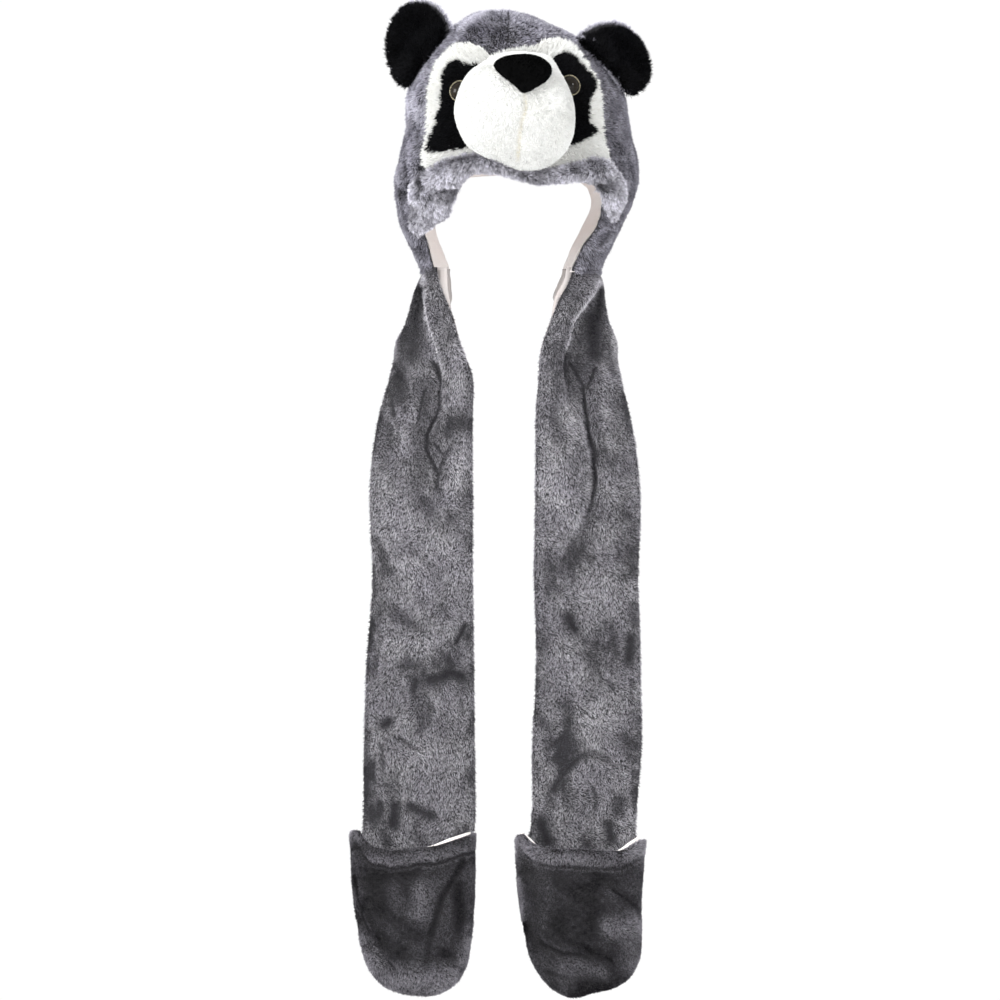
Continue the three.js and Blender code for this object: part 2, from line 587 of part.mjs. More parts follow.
// Half an ear: a rounded pad, flat where it meets the other half
function earHalf(ear, thickness, wider, side) {
  const behind = side > 0 ? 0 : 1;
  const steps = 4;
  const profile = [[0, 0]];
  for (let i = 0; i <= steps; i += 1) {
    const angle = (i / steps) * (Math.PI / 2);
    profile.push([Math.cos(angle) ** 0.8, GAP / 2 + thickness * Math.sin(angle) ** 0.8]);
  }
  profile[0][1] = GAP / 2;
  profile.at(-1)[0] = 0;
  const pad = new THREE.LatheGeometry(profile.map(([r, h]) => new THREE.Vector2(r, h)), EAR_SIDES);
  const bare = solidOf(pad);
  const shaped = geometryOf(bare);
  if (side > 0) shaped.rotateX(Math.PI);
  shaped.scale(ear.across * wider, 1, ear.up * wider);
  shaped.rotateY(THREE.MathUtils.degToRad(ear.lean));
  shaped.rotateX(THREE.MathUtils.degToRad(ear.nod));
  shaped.rotateZ(THREE.MathUtils.degToRad(-ear.turn));
  shaped.translate(ear.x + behind * ear.backX, ear.y, -ear.down + behind * ear.backUp);
  return solidOf(shaped);
}

// The five lines of a flap at one height, as places with x from the middle outwards
function flapLines(side, down) {
  const read = (pick) => valueAt(FLAP_ROWS, 'down', pick, down);
  const inner = read((row) => row[`${side}In`]);
  const width = read((row) => row[`${side}Out`]) - inner;
  const fold = read((row) => row[`${side}Fold`]);
  const behind = fold + read((row) => row.back);
  const shares = [0, fold, behind, read((row) => row.mid), read((row) => row.edge)];
  return shares.map((share, i) => ({ at: i / 4, x: inner + width * share, y: read((row) => row.y[i]) }));
}

function creaseDepth(side, x, down) {
  return CREASES[side].reduce((sum, crease) => {
    const runX = crease.x1 - crease.x0;
    const runDown = crease.down1 - crease.down0;
    const along = ((x - crease.x0) * runX + (down - crease.down0) * runDown) / (runX ** 2 + runDown ** 2);
    const near = THREE.MathUtils.clamp(along, 0, 1);
    const away = Math.hypot(x - crease.x0 - near * runX, down - crease.down0 - near * runDown);
    return sum + crease.depth * Math.exp(-((away / crease.half) ** 2));
  }, 0);
}

// The flap's front face, drawn for the side whose x runs outwards, then moved back by a distance
function flapGrid(side, back, inset) {
  const across = FLAP_ACROSS;
  const edge = inset / FLAP_WIDTH;
  const surface = FLAP_DOWNS.map((down, row) => {
    const lines = flapLines(side, down);
    const trim = row === FLAP_DOWNS.length - 1 ? inset : 0;
    return Array.from({ length: across + 1 }, (_, i) => {
      const at = THREE.MathUtils.clamp(i / across, edge, 1 - edge);
      const x = valueAt(lines, 'at', (line) => line.x, at);
      const y = valueAt(lines, 'at', (line) => line.y, at);
      return new THREE.Vector3(-x, y + creaseDepth(side, x, down), -down + trim);
    });
  });
  const normals = surface.map((line, row) => line.map((_, i) => {
    const above = surface[Math.max(row - 1, 0)][i];
    const below = surface[Math.min(row + 1, surface.length - 1)][i];
    const before = line[Math.max(i - 1, 0)];
    const after = line[Math.min(i + 1, across)];
    return after.clone().sub(before).cross(below.clone().sub(above)).normalize();
  }));
  return surface.map((line, row) => {
    const mean = normals[row].reduce((sum, n) => sum.add(n), new THREE.Vector3()).normalize();
    return line.map((point, i) => {
      const direction = normals[row][i].clone().add(mean).normalize();
      return point.clone().addScaledVector(direction, -back);
    });
  });
}

// A layer of a flap between two distances behind its front face, cut level under the ear flap
function flapSheet(side, front, back, inset) {
  const sheet = solidOf(sheetBody(flapGrid(side, front, inset), flapGrid(side, back, inset)));
  const turned = side === 'left' ? sheet : sheet.mirror([1, 0, 0]);
  const above = [[-REACH, 0], [REACH, 0], [REACH, FLAP_TOP], [-REACH, FLAP_TOP]];
  return turned.subtract(frontPrism(above, -REACH, REACH));
}

// The room that a flap's end takes inside its pocket
function flapRoom(side) {
  const downs = FLAP_DOWNS.filter((down) => down >= FLAP_END);
  const turn = side === 'left' ? -1 : 1;
  const edges = downs.map((down) => flapLines(side, down).map((line) => [turn * line.x, down]));
  const outline = [...edges.map((lines) => lines.at(-1)), ...edges.map((lines) => lines[0]).reverse()];
  return frontPrism(grown(outline, 2 * GAP), FLAP_FRONT, REACH);
}

// A pocket's closed form: sections with a flat back, drawn in from their outside by a distance
function pocketBody(rows, distance, backward) {
  const last = rows.at(-1);
  const rings = rows.map((row, i) => {
    const front = POCKET_BACK - Math.max(row.depth - distance, THINNEST);
    const down = Math.min(row.down, last.down - distance - 3 * (rows.length - 1 - i));
    const extent = { down, left: row.left + distance, right: row.right - distance,
      front, rear: POCKET_BACK + backward, centre: POCKET_BACK };
    return ovalRing(extent, POCKET_ROUNDNESS, POCKET_SIDES)
      .map((p) => new THREE.Vector3(p.x, p.y > POCKET_BACK ? POCKET_BACK + backward : p.y, p.z));
  });
  const middle = (row) => (row.left + row.right) / 2;
  const top = new THREE.Vector3(middle(rows[0]), POCKET_BACK - 8, -rows[0].down + 2);
  const foot = new THREE.Vector3(middle(last), POCKET_BACK - 3, -last.down - 2 + distance);
  return solidOf(loftedBody(rings, top, foot));
}

function pocketWall(side, outside, inside, mouth) {
  const { rows } = POCKETS[side];
  const above = [...mouth, [mouth.at(-1)[0], ABOVE_POCKET], [mouth[0][0], ABOVE_POCKET]];
  return pocketBody(rows, outside, 0)
    .subtract(pocketBody(rows, inside, OPEN_BACK))
    .subtract(frontPrism(above, -REACH, REACH))
    .subtract(flapRoom(side));
}

// The one body that is kept where cutting leaves scraps beside it
function largestOf(solid) {
  return solid.decompose().reduce((best, body) => (body.volume() > best.volume() ? body : best));
}

function meshOf(name, solid, material) {
  const geometry = solid instanceof THREE.BufferGeometry ? solid : geometryOf(solid);
  const surface = new THREE.MeshStandardMaterial({ ...MATERIALS[material], metalness: 0 });
  const mesh = new THREE.Mesh(geometry, surface);
  mesh.name = name;
  return mesh;
}

const beanie = new THREE.Group();

const hood = hoodBody(GAP);
const face = hoodBody(FACE_PLUSH + 2 * GAP);
const muzzle = muzzleBody(0);
beanie.add(meshOf('crown', hoodWall(0, -PLUSH), 'greyPlush'));
beanie.add(meshOf('lining', hoodLining(), 'liningCloth'));
beanie.add(meshOf('brow_band', bandBody(0).subtract(hood), 'greyPlush'));

const faceLayer = hoodBody(GAP + FACE_PLUSH).subtract(hood);
const bandRoom = bandBody(GAP);
let mask = faceLayer.intersect(frontPrism(MASK, -REACH, 0)).subtract(bandRoom);
for (const side of ['left', 'right']) {
  const patch = PATCHES[side];
  mask = mask.subtract(frontPrism(grown(patch, GAP), -REACH, 0));
  const patchSolid = faceLayer.intersect(frontPrism(patch, -REACH, 0)).subtract(bandRoom);
  beanie.add(meshOf(`eye_patch_${side}`, patchSolid, 'blackPlush'));
}
beanie.add(meshOf('face_mask', largestOf(mask), 'whitePlush'));
const ballRoom = face.add(bandRoom).add(eyeRoom(EYES.left)).add(eyeRoom(EYES.right));
beanie.add(meshOf('muzzle', muzzle.subtract(ballRoom), 'whitePlush'));
const noseLayer = muzzleBody(NOSE_RISE).subtract(muzzleBody(GAP));
const nosePrism = frontPrism(smoothClosed(NOSE, 2), -REACH, NOSE_BACK);
beanie.add(meshOf('nose', noseLayer.intersect(nosePrism), 'noseFelt'));

for (const side of ['left', 'right']) {
  const eye = EYES[side];
  beanie.add(meshOf(`eye_${side}`, seatedRound(eyeProfile(eye), eye), 'eyePlastic'));
  beanie.add(meshOf(`eye_ring_${side}`, seatedRound(ringProfile(), eye), 'rimPlastic'));
  const ear = EARS[side];
  const earFront = earHalf(ear, EAR_FRONT, 1, 1).subtract(hood);
  const earBack = earHalf(ear, EAR_BACK, EAR_BACK_WIDER, -1).subtract(hood);
  beanie.add(meshOf(`ear_front_${side}`, earFront, 'blackPlush'));
  beanie.add(meshOf(`ear_back_${side}`, earBack, 'greyPlush'));
  const flap = flapSheet(side, 0, PLUSH, 0);
  const liningFront = PLUSH + GAP;
  const flapLining = flapSheet(side, liningFront, liningFront + LINING, LINING_INSET);
  beanie.add(meshOf(`flap_${side}`, flap, 'greyPlush'));
  beanie.add(meshOf(`flap_lining_${side}`, flapLining, 'liningCloth'));
  const pocket = POCKETS[side];
  beanie.add(meshOf(`mitten_${side}`, pocketWall(side, 0, PLUSH, pocket.mouth), 'pocketPlush'));
  const pocketLining = pocketWall(side, PLUSH + GAP, PLUSH + GAP + LINING, pocket.liningMouth);
  beanie.add(meshOf(`mitten_lining_${side}`, largestOf(pocketLining), 'liningCloth'));
}

export default beanie;
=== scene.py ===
"""A plush animal beanie with scarf flaps and mitten pockets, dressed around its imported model.

Tables are in millimetres, as across (x), below the origin (down) and depth (y), with the face looking to -Y.
Meshes are made in metres.
"""

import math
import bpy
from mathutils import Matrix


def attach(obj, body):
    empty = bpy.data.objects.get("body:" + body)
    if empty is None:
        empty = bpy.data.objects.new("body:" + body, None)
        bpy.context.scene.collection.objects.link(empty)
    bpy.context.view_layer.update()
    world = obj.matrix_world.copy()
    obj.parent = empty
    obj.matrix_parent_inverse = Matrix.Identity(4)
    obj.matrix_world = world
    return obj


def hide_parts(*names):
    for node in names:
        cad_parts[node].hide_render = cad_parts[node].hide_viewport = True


bl_info = {
    "name": "Animal beanie",
    "version": (1, 0, 0),
    "blender": (4, 5, 0),
    "location": "3D View > Sidebar > Beanie",
    "description": "Plush hood with a face, scarf flaps and mitten pockets",
    "category": "Object",
}

from collections import namedtuple
from functools import partial

import bmesh
import bpy
import numpy as np
from bpy.props import FloatProperty, FloatVectorProperty, IntProperty, PointerProperty
from mathutils import Vector
from mathutils.geometry import delaunay_2d_cdt, tessellate_polygon

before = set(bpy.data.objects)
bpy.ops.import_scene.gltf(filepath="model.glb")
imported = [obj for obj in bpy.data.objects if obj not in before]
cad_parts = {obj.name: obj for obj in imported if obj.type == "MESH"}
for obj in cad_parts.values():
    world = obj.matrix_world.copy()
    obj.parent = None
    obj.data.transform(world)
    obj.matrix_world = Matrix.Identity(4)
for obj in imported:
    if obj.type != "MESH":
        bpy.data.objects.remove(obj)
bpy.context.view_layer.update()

MM = 0.001
SIDES = ("left", "right")
TURN = {"left": -1, "right": 1}
# The camera sees one square metre, and places marked seen are mm from its left and top edge
VIEW_SIDE = 1000
VIEW_X = 508
VIEW_DOWN = 16

HOOD_ROUNDNESS = 2.3
# Thickness of the plush and of the lining, and the gap between two layers
PLUSH = 5
LINING = 1.2
GAP = 0.3
FACE_PLUSH = 3
# How far a face panel's cloth stays inside its outline, which its pile fills
PANEL_INSET = 1
PANEL_THICKNESS = 1.2
HOOD_HEM = 256
# y, down along the hem seen from the side, from the ear flap's rear corner up to the nape
SIDE_HEMS = {
    "left": [
        (38, 256), (44, 241), (53, 223), (61, 210), (69, 198), (80, 180), (87, 168), (96, 158), (112, 152),
    ],
    "right": [(43.5, 256), (50, 239), (62, 215), (71.5, 198), (80, 180), (87, 168), (96, 158), (112, 152)],
}
# How far the tools that cut the hood reach past it
REACH = 250
# Height over the nape's hem that has no pile, so that none hangs below it
NAPE_BARE = 7
# y up to which the hood's strokes, which are seen from the front, reach
STROKES_TO = 60
# Strength of the studio's light from below and above, and of the backdrop that the camera sees
STUDIO_BELOW = 0.62
STUDIO_ABOVE = 1.02
BACKDROP = 1.02
FLOOR_Z = -1.3
FLOOR_RADIUS = 5.4
# Place, aim, size and power of each lamp
LAMPS = {
    "Key": ((-1.7, -2.4, 1.4), (0, 0, -0.35), 1.2, 78),
    "Side": ((-2.7, -1.0, 0.6), (0, 0, -0.2), 1.0, 37),
    "Fill": ((1.9, -2.2, -0.2), (0, 0, -0.5), 1.8, 15),
    "Bounce": ((0.3, -1.9, -1.2), (0, 0, -0.15), 1.6, 12),
    "Catchlight": ((2.3, -1.6, 1.2), (0.06, -0.1, -0.07), 0.4, 14),
    "Back": ((0.6, 2.6, 1.2), (0, 0, -0.4), 1.6, 12),
}
# down, left, right, front, rear
HOOD_ROWS = np.array([
    (-4.5, -30, 9, -30, 36), (-2, -37, 17, -42, 48), (2, -43, 31, -55, 62), (7, -52, 45, -67, 75),
    (17, -65, 65, -81, 90), (34, -80, 89, -94, 102), (54, -93, 106, -102, 110), (74, -100, 116, -107, 114),
    (94, -104, 120, -109, 116), (114, -102, 123, -110, 117), (134, -108, 129, -109, 116),
    (154, -113, 133, -106, 113), (174, -114, 131, -101, 108), (194, -112, 123, -94, 101),
    (214, -107, 113, -82, 86), (234, -97.5, 103, -69, 71), (254, -86, 92.5, -58, 60), (274, -84, 89, -50, 52),
    (294, -84, 89, -46, 48),
], float)

# x, down, half height, how far it stands out
BAND_ROWS = np.array([
    (-89, 219.5, 2, 4), (-88, 207.5, 11, 9), (-80.5, 192, 21, 12), (-73.5, 176.5, 24, 13),
    (-58.5, 161, 16, 13), (-40, 150.5, 10.5, 13), (-18, 148, 10.5, 14), (-1, 153.5, 8, 13),
    (16, 159.5, 6.5, 11), (32.5, 162, 7.5, 11), (51.5, 160, 8.5, 11), (71.5, 156.5, 9.5, 12),
    (91.5, 158, 14, 12), (103.5, 173.5, 13, 12), (104.5, 190, 10, 10), (104, 201.5, 2, 4),
], float)

# x, down of the outlines seen from the front
OPENING = [
    (-62, 290), (-64, 273), (-74, 250), (-79, 229.5), (-83, 216.5), (-76, 208), (-69, 200), (-60.5, 193.5),
    (-52, 183.5), (-48, 172), (-44, 161), (-32, 158), (-16, 157.5), (-1, 159.5), (14, 162.5), (29.5, 167),
    (44.5, 167), (59.5, 163), (77.5, 163), (89.5, 169.5), (93.5, 183), (91.5, 200), (86, 214.5), (74, 229.5),
    (62, 255), (58, 267), (54, 290),
]
MASK = [
    (-15, 41.5), (-23, 36.5), (-30, 32), (-42, 29), (-51, 31), (-59, 35.5), (-67, 43.5), (-73, 54.5),
    (-78, 72.5), (-79.5, 92.5), (-80.5, 110.5), (-81.5, 124.5), (-83.5, 133.5), (-85.5, 146), (-77.5, 155.5),
    (-58.5, 154), (-40, 149.5), (-18, 148.5), (-1, 153.5), (16, 159.5), (32.5, 161.5), (51.5, 159),
    (71.5, 156), (97.5, 151.5), (99.5, 139.5), (94.5, 123.5), (93.5, 105.5), (92.5, 85.5), (88.5, 66.5),
    (79.5, 51.5), (71, 38.5), (60, 28.5), (47, 26), (34, 28), (26, 33.5), (6, 35.5),
]
PATCHES = {
    "left": [
        (-64.5, 70), (-64, 60), (-57.5, 49), (-48, 46), (-39, 51.5), (-28, 52.5), (-24, 73), (-27, 95),
        (-27, 114.5), (-30, 131.5), (-78, 138.5), (-77.5, 124.5), (-72, 110.5), (-70, 98), (-67, 93),
        (-65, 75),
    ],
    "right": [
        (38.5, 48.5), (47.5, 41), (56.5, 39.5), (65.5, 43), (74, 52), (82.5, 60.5), (86, 70.5), (84.5, 80),
        (81, 85), (80.5, 98), (82, 108), (88, 120), (62.5, 131.5), (43.5, 136.5), (37.5, 115), (37.5, 93),
        (35.5, 73), (34.5, 55),
    ],
}

MUZZLE_ROUNDNESS = 2.15
# down, left, right, front, rear
MUZZLE_ROWS = np.array([
    (39.5, 10, 16, -106, -88), (41, -2, 28, -120, -88), (44, -14, 39, -141, -88), (50, -24.5, 46, -155, -88),
    (60, -38.5, 52, -166, -88), (76, -48.5, 60, -172, -88), (94, -53, 66, -172, -88),
    (109, -51.5, 67, -167, -88), (122, -47.5, 65, -158, -89), (135, -38, 60, -146, -90),
    (146, -19, 50, -132, -92), (155, 0, 36, -120, -94), (159, 15, 21, -108, -96),
], float)
MUZZLE_TOP = 39.5
MUZZLE_FOOT = 159
# down, x along the sewn seam
SEAM_ROWS = np.array([
    (40, 16), (82, 16), (91, 17), (102, 16), (110, 13), (123, 11), (140, 10), (158, 9.4),
], float)
SEAM_FROM = 80
SEAM_TO = 156

EYES = {"left": (-46.6, 78.3), "right": (60.2, 73)}
EYE_RADIUS = 9.2
EYE_RISE = 5.5
EYE_LIFT = FACE_PLUSH + 2 * GAP
RING_INNER = 9.6
RING_OUTER = 10.7
RING_RISE = 1.7
# x, down round each ear's front as seen
EAR_OUTLINES = {
    "left": [
        (-123, 30), (-119, 9), (-111, -4), (-101, -12), (-88, -13.5), (-76, -9), (-67, 0), (-61, 12),
        (-61.5, 20), (-68, 31), (-78, 43), (-88, 57), (-97, 70), (-103, 73), (-112, 66), (-120, 49),
    ],
    "right": [
        (70, 27), (84, 17), (98, 11.5), (112, 11), (125, 16.5), (137, 30), (143, 46), (142.5, 59), (138, 70),
        (129, 78), (121, 80), (116, 77), (111, 69), (104, 60), (96, 51.5), (87, 43.5), (77, 35),
    ],
}
# Where each ear's plane lies: x, down, y and how y rises to the right and upwards
EAR_PLANES = {"left": (-90, 30, -26, -0.29, -0.17), "right": (107, 47, -28, 0.2, -0.33)}
EAR_BACKS = {"left": (4, -2), "right": (-4, -5)}
# x, down, y along each ear's seam on the hood, from its upper end
EAR_SEAMS = {
    "left": np.array([(-61, 19, -43), (-80, 45, -48), (-98, 70, -24)], float),
    "right": np.array([(70, 27, -58), (83, 40, -61), (95, 52, -59), (107, 65, -47), (118, 79, -20)], float),
}
EAR_RISE = 26

# down, left in, left out, right in, right out, then as shares of the width the left fold, the right fold, how
# far past it the line behind it lies, the middle and the edge, and last the five lines' depths
EVEN = (0.25, 0.25, 0.25, 0.75, 1)
LEVEL = (-12, -12, -12, -12, -12)
FLAP_ROWS = np.array([
    (256.3, 75, 86, 67, 91.5, 0.75, 0.8, 0.25, 0.88, -0.12, -38, -26, 0, 28, 40),
    (269.3, 71, 92, 61, 94, 0.63, 0.8, 0.2, 1, -0.08, -42, -35, -10, 14, 40),
    (284, 63.5, 97, 52.5, 98, 0.6, 0.61, 0.02, 1, 0.02, -44, -41, -20, 6, 40),
    (304, 55, 103, 44, 102, 0.53, 0.4, -0.04, 1, 0.5, -45, -45, -28, -4, 36),
    (324, 49, 111, 36, 108, 0.41, 0.36, -0.05, 0.97, 0.98, -42, -45, -31, -10, 24),
    (344, 41, 117, 31, 112, 0.36, 0.3, -0.03, 0.8, 1, -37, -42, -30, -14, 10),
    (364, 34, 122, 30, 116, 0.34, 0.29, 0.04, 0.71, 1, -32, -38, -28, -17, 0),
    (394, 34, 130, 27, 123, 0.31, 0.28, 0.14, 0.73, 1, -26, -33, -25, -18, -7),
    (434, 34, 137, 26, 130, 0.29, 0.29, 0.19, 0.74, 1, -20, -27, -22, -18, -11),
    (484, 34, 140, 26, 134, *EVEN, -15, -19, -19, -17, -13),
    (564, 34, 137, 25, 132, *EVEN, -11, -14, -15, -14, -11),
    (644, 33, 143, 27, 134, *EVEN, -10, -13, -14, -13, -10),
    (734, 32, 146, 23, 135, *EVEN, -11, -14, -15, -14, -11),
    (814, 32, 147, 22, 129, *EVEN, -12, -13, -13, -13, -12),
    (834, 38, 152, 13, 132, *EVEN, *LEVEL),
    (884, 39, 150, 16, 129, *EVEN, *LEVEL),
    (914, 41, 146, 20, 129, *EVEN, *LEVEL),
    (944, 45, 139, 28, 127, *EVEN, *LEVEL),
    (964, 53, 127, 38, 117, *EVEN, *LEVEL),
    (972, 62, 117, 48, 102, *EVEN, *LEVEL),
], float)
FLAP_IN = {"left": 1, "right": 3}
FLAP_FOLD = {"left": 5, "right": 6}
FLAP_BEHIND = 7
FLAP_OUTER = slice(8, 10)
FLAP_DEPTHS = slice(10, 15)
FLAP_TOP = 251
# How far the lining shows past the plush, at each height
LINING_SHOWS = {
    "left": [(251, 10), (264, 9), (281, 4), (294, 0)],
    "right": [(251, 5), (267, 5.5), (281, 5), (302, 0)],
}
FLAP_FOOT = 972
# How far a layer is drawn in at its edges, and its points across, down its top and down the rest
FLAP_INSET = 1.6
FLAP_STEPS = (37, 46, 92)
FLAP_WIDTH = 108
# down to which a flap's rows are closer together, and where its plush ends in its pocket
FLAP_FINE_TO = 420
FLAP_PLUSH_TO = 875
# Seeds of each flap's bumps and blotches
FLAP_SEEDS = {"left": (91, 95), "right": (92, 105)}

POCKET_TOP = 815
POCKET_MOUTH = 830
POCKET_BACK = -5.3
POCKET_ROUNDNESS = 2.6
# How far each pocket's foot stays smooth
POCKET_FOOT = {"left": 0.45, "right": 1}
# How far below its mouth a pocket's hem is sewn
POCKET_HEM = 17
# down, left, right, depth
POCKET_ROWS = {
    "left": np.array([
        (800, -159, -32, 37), (834, -159, -32, 38), (860, -158, -32, 41), (884, -156, -33, 41),
        (914, -151.5, -35, 38), (944, -145, -39, 31), (964, -134, -47, 23), (974, -122, -58, 16),
        (980, -106, -72, 9), (982, -93, -85, 5),
    ], float),
    "right": np.array([
        (800, 7, 137, 37), (834, 7, 138, 38), (860, 8, 136, 41), (884, 10, 135, 41), (914, 14.5, 134.5, 38),
        (944, 22, 133, 31), (964, 33, 123, 23), (974, 42, 108, 16), (981, 54, 80, 9), (983, 63, 71, 5),
    ], float),
}
# x, down along each mouth
POCKET_MOUTHS = {
    "left": np.array([
        (-170, 820), (-158, 819), (-154, 815), (-148, 815), (-145, 822), (-136, 831), (-117, 835), (-92, 832),
        (-72, 830), (-53, 824), (-37, 819), (-20, 816),
    ], float),
    "right": np.array([
        (-5, 822), (7, 826), (11, 820), (17, 819), (24, 827), (43, 833), (68, 833), (94, 835), (113, 835),
        (130, 826), (138, 825), (150, 822),
    ], float),
}
LINING_MOUTHS = {
    "left": np.array([
        (-170, 826), (-136, 836), (-100, 836), (-74, 829), (-60, 823), (-42, 817.5), (-20, 814),
    ], float),
    "right": np.array([
        (-5, 816), (13, 816), (23, 823), (31, 832), (60, 838), (100, 838), (113, 833), (119, 828), (132, 820),
        (150, 816),
    ], float),
}

# Pressed and creased places as seen, darkened partly by pressing, partly by painted shade in the creases and
# a painted shadow on the panel behind each fold: from x, y to x, y, half width, how dark, how deep
FLAP_STROKES = {
    "left": [
        (405, 350, 398, 392, 10, 0.65, 0), (425, 385, 420, 480, 12, 0.55, 0),
        (440, 410, 436, 485, 7, 0.5, 0), (380, 400, 384, 470, 7, 0.4, 0), (423, 390, 417, 422, 3, 0.8, 3),
        (433, 360, 441, 380, 4, 1, 4), (441, 380, 440, 407, 4, 1, 6), (440, 407, 427, 433, 4, 1, 5),
        (427, 433, 425, 450, 4, 1, 4), (425, 450, 438, 473, 4, 0.9, 3), (438, 473, 437, 487, 4, 0.9, 3),
        (457, 406, 459, 428, 3, 0.7, 3), (459, 436, 446, 452, 3.5, 0.9, 4), (434, 442, 445, 456, 3, 0.8, 3),
        (443, 458, 437, 479, 4.5, 0.8, 3), (437, 479, 443, 495, 4, 0.6, 2),
        (389, 390, 394, 413, 3.5, 0.7, 2), (386, 422, 388, 440, 7, 0.5, 2), (377, 540, 387, 568, 5, 0.7, 2),
        (450, 513, 456, 531, 9, 0.4, 1), (420, 288, 415, 318, 6, 0.9, 0), (415, 318, 411, 352, 10, 0.75, 0),
        (384, 572, 392, 570, 6, 0.7, 2), (380, 604, 396, 613, 9, 0.5, 2), (396, 613, 421, 627, 8, 0.6, 3),
        (434, 602, 440, 606, 8, 0.4, 1), (464, 625, 457, 641, 4.5, 0.9, 3), (457, 641, 444, 643, 3, 0.5, 1),
        (404, 665, 416, 665, 7, 0.7, 3), (430, 679, 446, 675, 8, 1, 4), (446, 672, 460, 677, 8, 1, 4),
        (402, 687, 412, 689, 8, 0.3, 1), (460, 700, 463, 712, 4, 0.5, 2), (384, 724, 389, 721, 6, 0.8, 3),
        (445, 727, 455, 748, 9, 0.35, 0), (397, 737, 411, 747, 3, 0.6, 2), (381, 745, 383, 772, 4, 0.6, 2),
        (388, 785, 394, 793, 6, 0.6, 2), (394, 806, 393, 824, 8, 0.9, 3), (409, 806, 432, 816, 6, 0.8, 3),
        (383, 832, 387, 844, 6, 0.7, 2), (418, 836, 424, 842, 7, 0.5, 1),
    ],
    "right": [
        (590, 350, 575, 390, 15, 0.6, 0), (556, 350, 560, 440, 8, 0.5, 0), (632, 550, 632, 570, 7, 0.7, 0),
        (548, 566, 562, 568, 6, 0.6, 0), (615, 400, 628, 520, 10, 0.35, 0), (600, 290, 596, 318, 6, 0.95, 0),
        (592, 318, 593, 352, 12, 0.9, 0), (594, 367, 587, 385, 3, 1, 4), (569, 361, 583, 386, 3.5, 0.8, 3),
        (582, 388, 587, 426, 4, 1, 7), (587, 426, 593, 454, 4, 1, 8), (593, 454, 595, 478, 4, 1, 8),
        (595, 478, 591, 501, 4, 1, 8), (591, 501, 584, 523, 4, 1, 7), (584, 523, 576, 535, 4, 0.9, 6),
        (576, 535, 564, 558, 4, 0.8, 4), (564, 558, 558, 572, 5, 0.6, 2), (606, 334, 612, 374, 4, 0.6, 2),
        (617, 404, 621, 414, 8, 0.5, 1), (628, 545, 628, 562, 7, 0.6, 2), (565, 411, 571, 429, 7, 0.4, 1),
        (575, 440, 580, 450, 6, 0.35, 1), (540, 560, 546, 574, 7, 0.3, 1), (569, 616, 574, 629, 7, 0.9, 3),
        (590, 643, 594, 658, 11, 0.5, 2), (630, 638, 629, 658, 8, 0.8, 3), (633, 606, 633, 622, 7, 0.6, 1),
        (624, 574, 638, 575, 6, 0.6, 1), (608, 681, 612, 687, 4, 0.6, 2), (599, 669, 601, 672, 4, 0.6, 2),
        (631, 681, 631, 697, 4, 0.5, 2), (535, 711, 547, 727, 5, 0.6, 2), (624, 738, 635, 747, 8, 0.7, 2),
        (553, 790, 564, 772, 6, 0.8, 3), (564, 772, 578, 757, 5, 0.8, 3), (578, 757, 592, 752, 5, 0.7, 3),
        (592, 752, 606, 759, 5, 0.6, 2), (606, 759, 617, 768, 4, 0.5, 2), (551, 790, 549, 803, 6, 0.6, 2),
        (592, 788, 596, 808, 4, 0.6, 2), (621, 800, 616, 812, 7, 0.7, 2), (541, 824, 546, 842, 10, 1, 3),
        (608, 825, 610, 839, 7, 0.8, 2), (566, 820, 580, 824, 5, 0.4, 1),
    ],
}
# Places where the pile stands and shows its pale tips, and painted highlights along the lit edges of the
# folds
FLAP_PALE_AND_HIGHLIGHTS = {
    "left": [
        (460, 350, 458, 400, 9, 0.9, 0), (462, 440, 450, 495, 8, 0.85, 0), (403, 425, 405, 448, 6, 0.7, 0),
        (412, 405, 413, 420, 3.5, 0.8, 0), (400, 520, 455, 560, 18, 0.8, 0), (410, 565, 425, 598, 13, 0.7, 0),
        (430, 640, 400, 645, 9, 0.6, 0), (420, 760, 440, 790, 12, 0.6, 0),
        # Painted highlight along the lit edge of the left fold
        (425.6, 276, 428, 286, 2.5, 1, 0), (428, 286, 426, 314, 2.5, 1, 0), (426, 314, 436, 358, 3, 1, 0),
    ],
    "right": [
        (550, 470, 570, 520, 14, 0.95, 0), (545, 540, 560, 545, 7, 0.7, 0), (565, 400, 572, 430, 6, 0.5, 0),
        (590, 585, 610, 600, 12, 0.6, 0), (560, 660, 575, 680, 12, 0.6, 0), (600, 715, 590, 735, 10, 0.6, 0),
        # Painted highlight along the lit edge of the right fold
        (598, 280, 588, 297, 2.5, 1, 0), (588, 297, 577, 315, 2.5, 1, 0), (577, 315, 566, 347, 3, 1, 0),
    ],
}
# The pockets' strokes, darkened partly by pressing, partly by painted shade in the creases and a painted
# shadow under the hem
POCKET_STROKES = {
    "left": [
        (354, 876, 363, 918, 3.2, 1, 4), (363, 918, 378, 950, 3.2, 1, 4), (378, 950, 397, 972, 3, 1, 3),
        (462, 862, 440, 898, 7, 0.85, 3), (440, 898, 430, 935, 7, 0.85, 4), (430, 935, 424, 966, 7, 0.75, 3),
        (456, 885, 460, 930, 12, 0.9, 0), (352, 848, 470, 842, 8, 0.5, 0), (384, 880, 394, 930, 12, 0.5, 0),
        (402, 930, 408, 955, 8, 0.6, 1),
    ],
    "right": [
        (612, 890, 636, 906, 4, 1, 4), (636, 906, 638, 917, 4, 0.8, 3), (596, 884, 612, 890, 5, 0.7, 2),
        (540, 943, 562, 954, 5, 1, 4), (562, 954, 592, 955, 5, 1, 5), (592, 955, 610, 962, 4, 1, 4),
        (630, 902, 640, 915, 6, 0.9, 2), (535, 905, 537, 944, 10, 0.7, 0), (560, 895, 600, 880, 16, 0.5, 0),
        (548, 973, 568, 977, 5, 0.8, 2), (610, 968, 618, 960, 4, 0.7, 2),
    ],
}
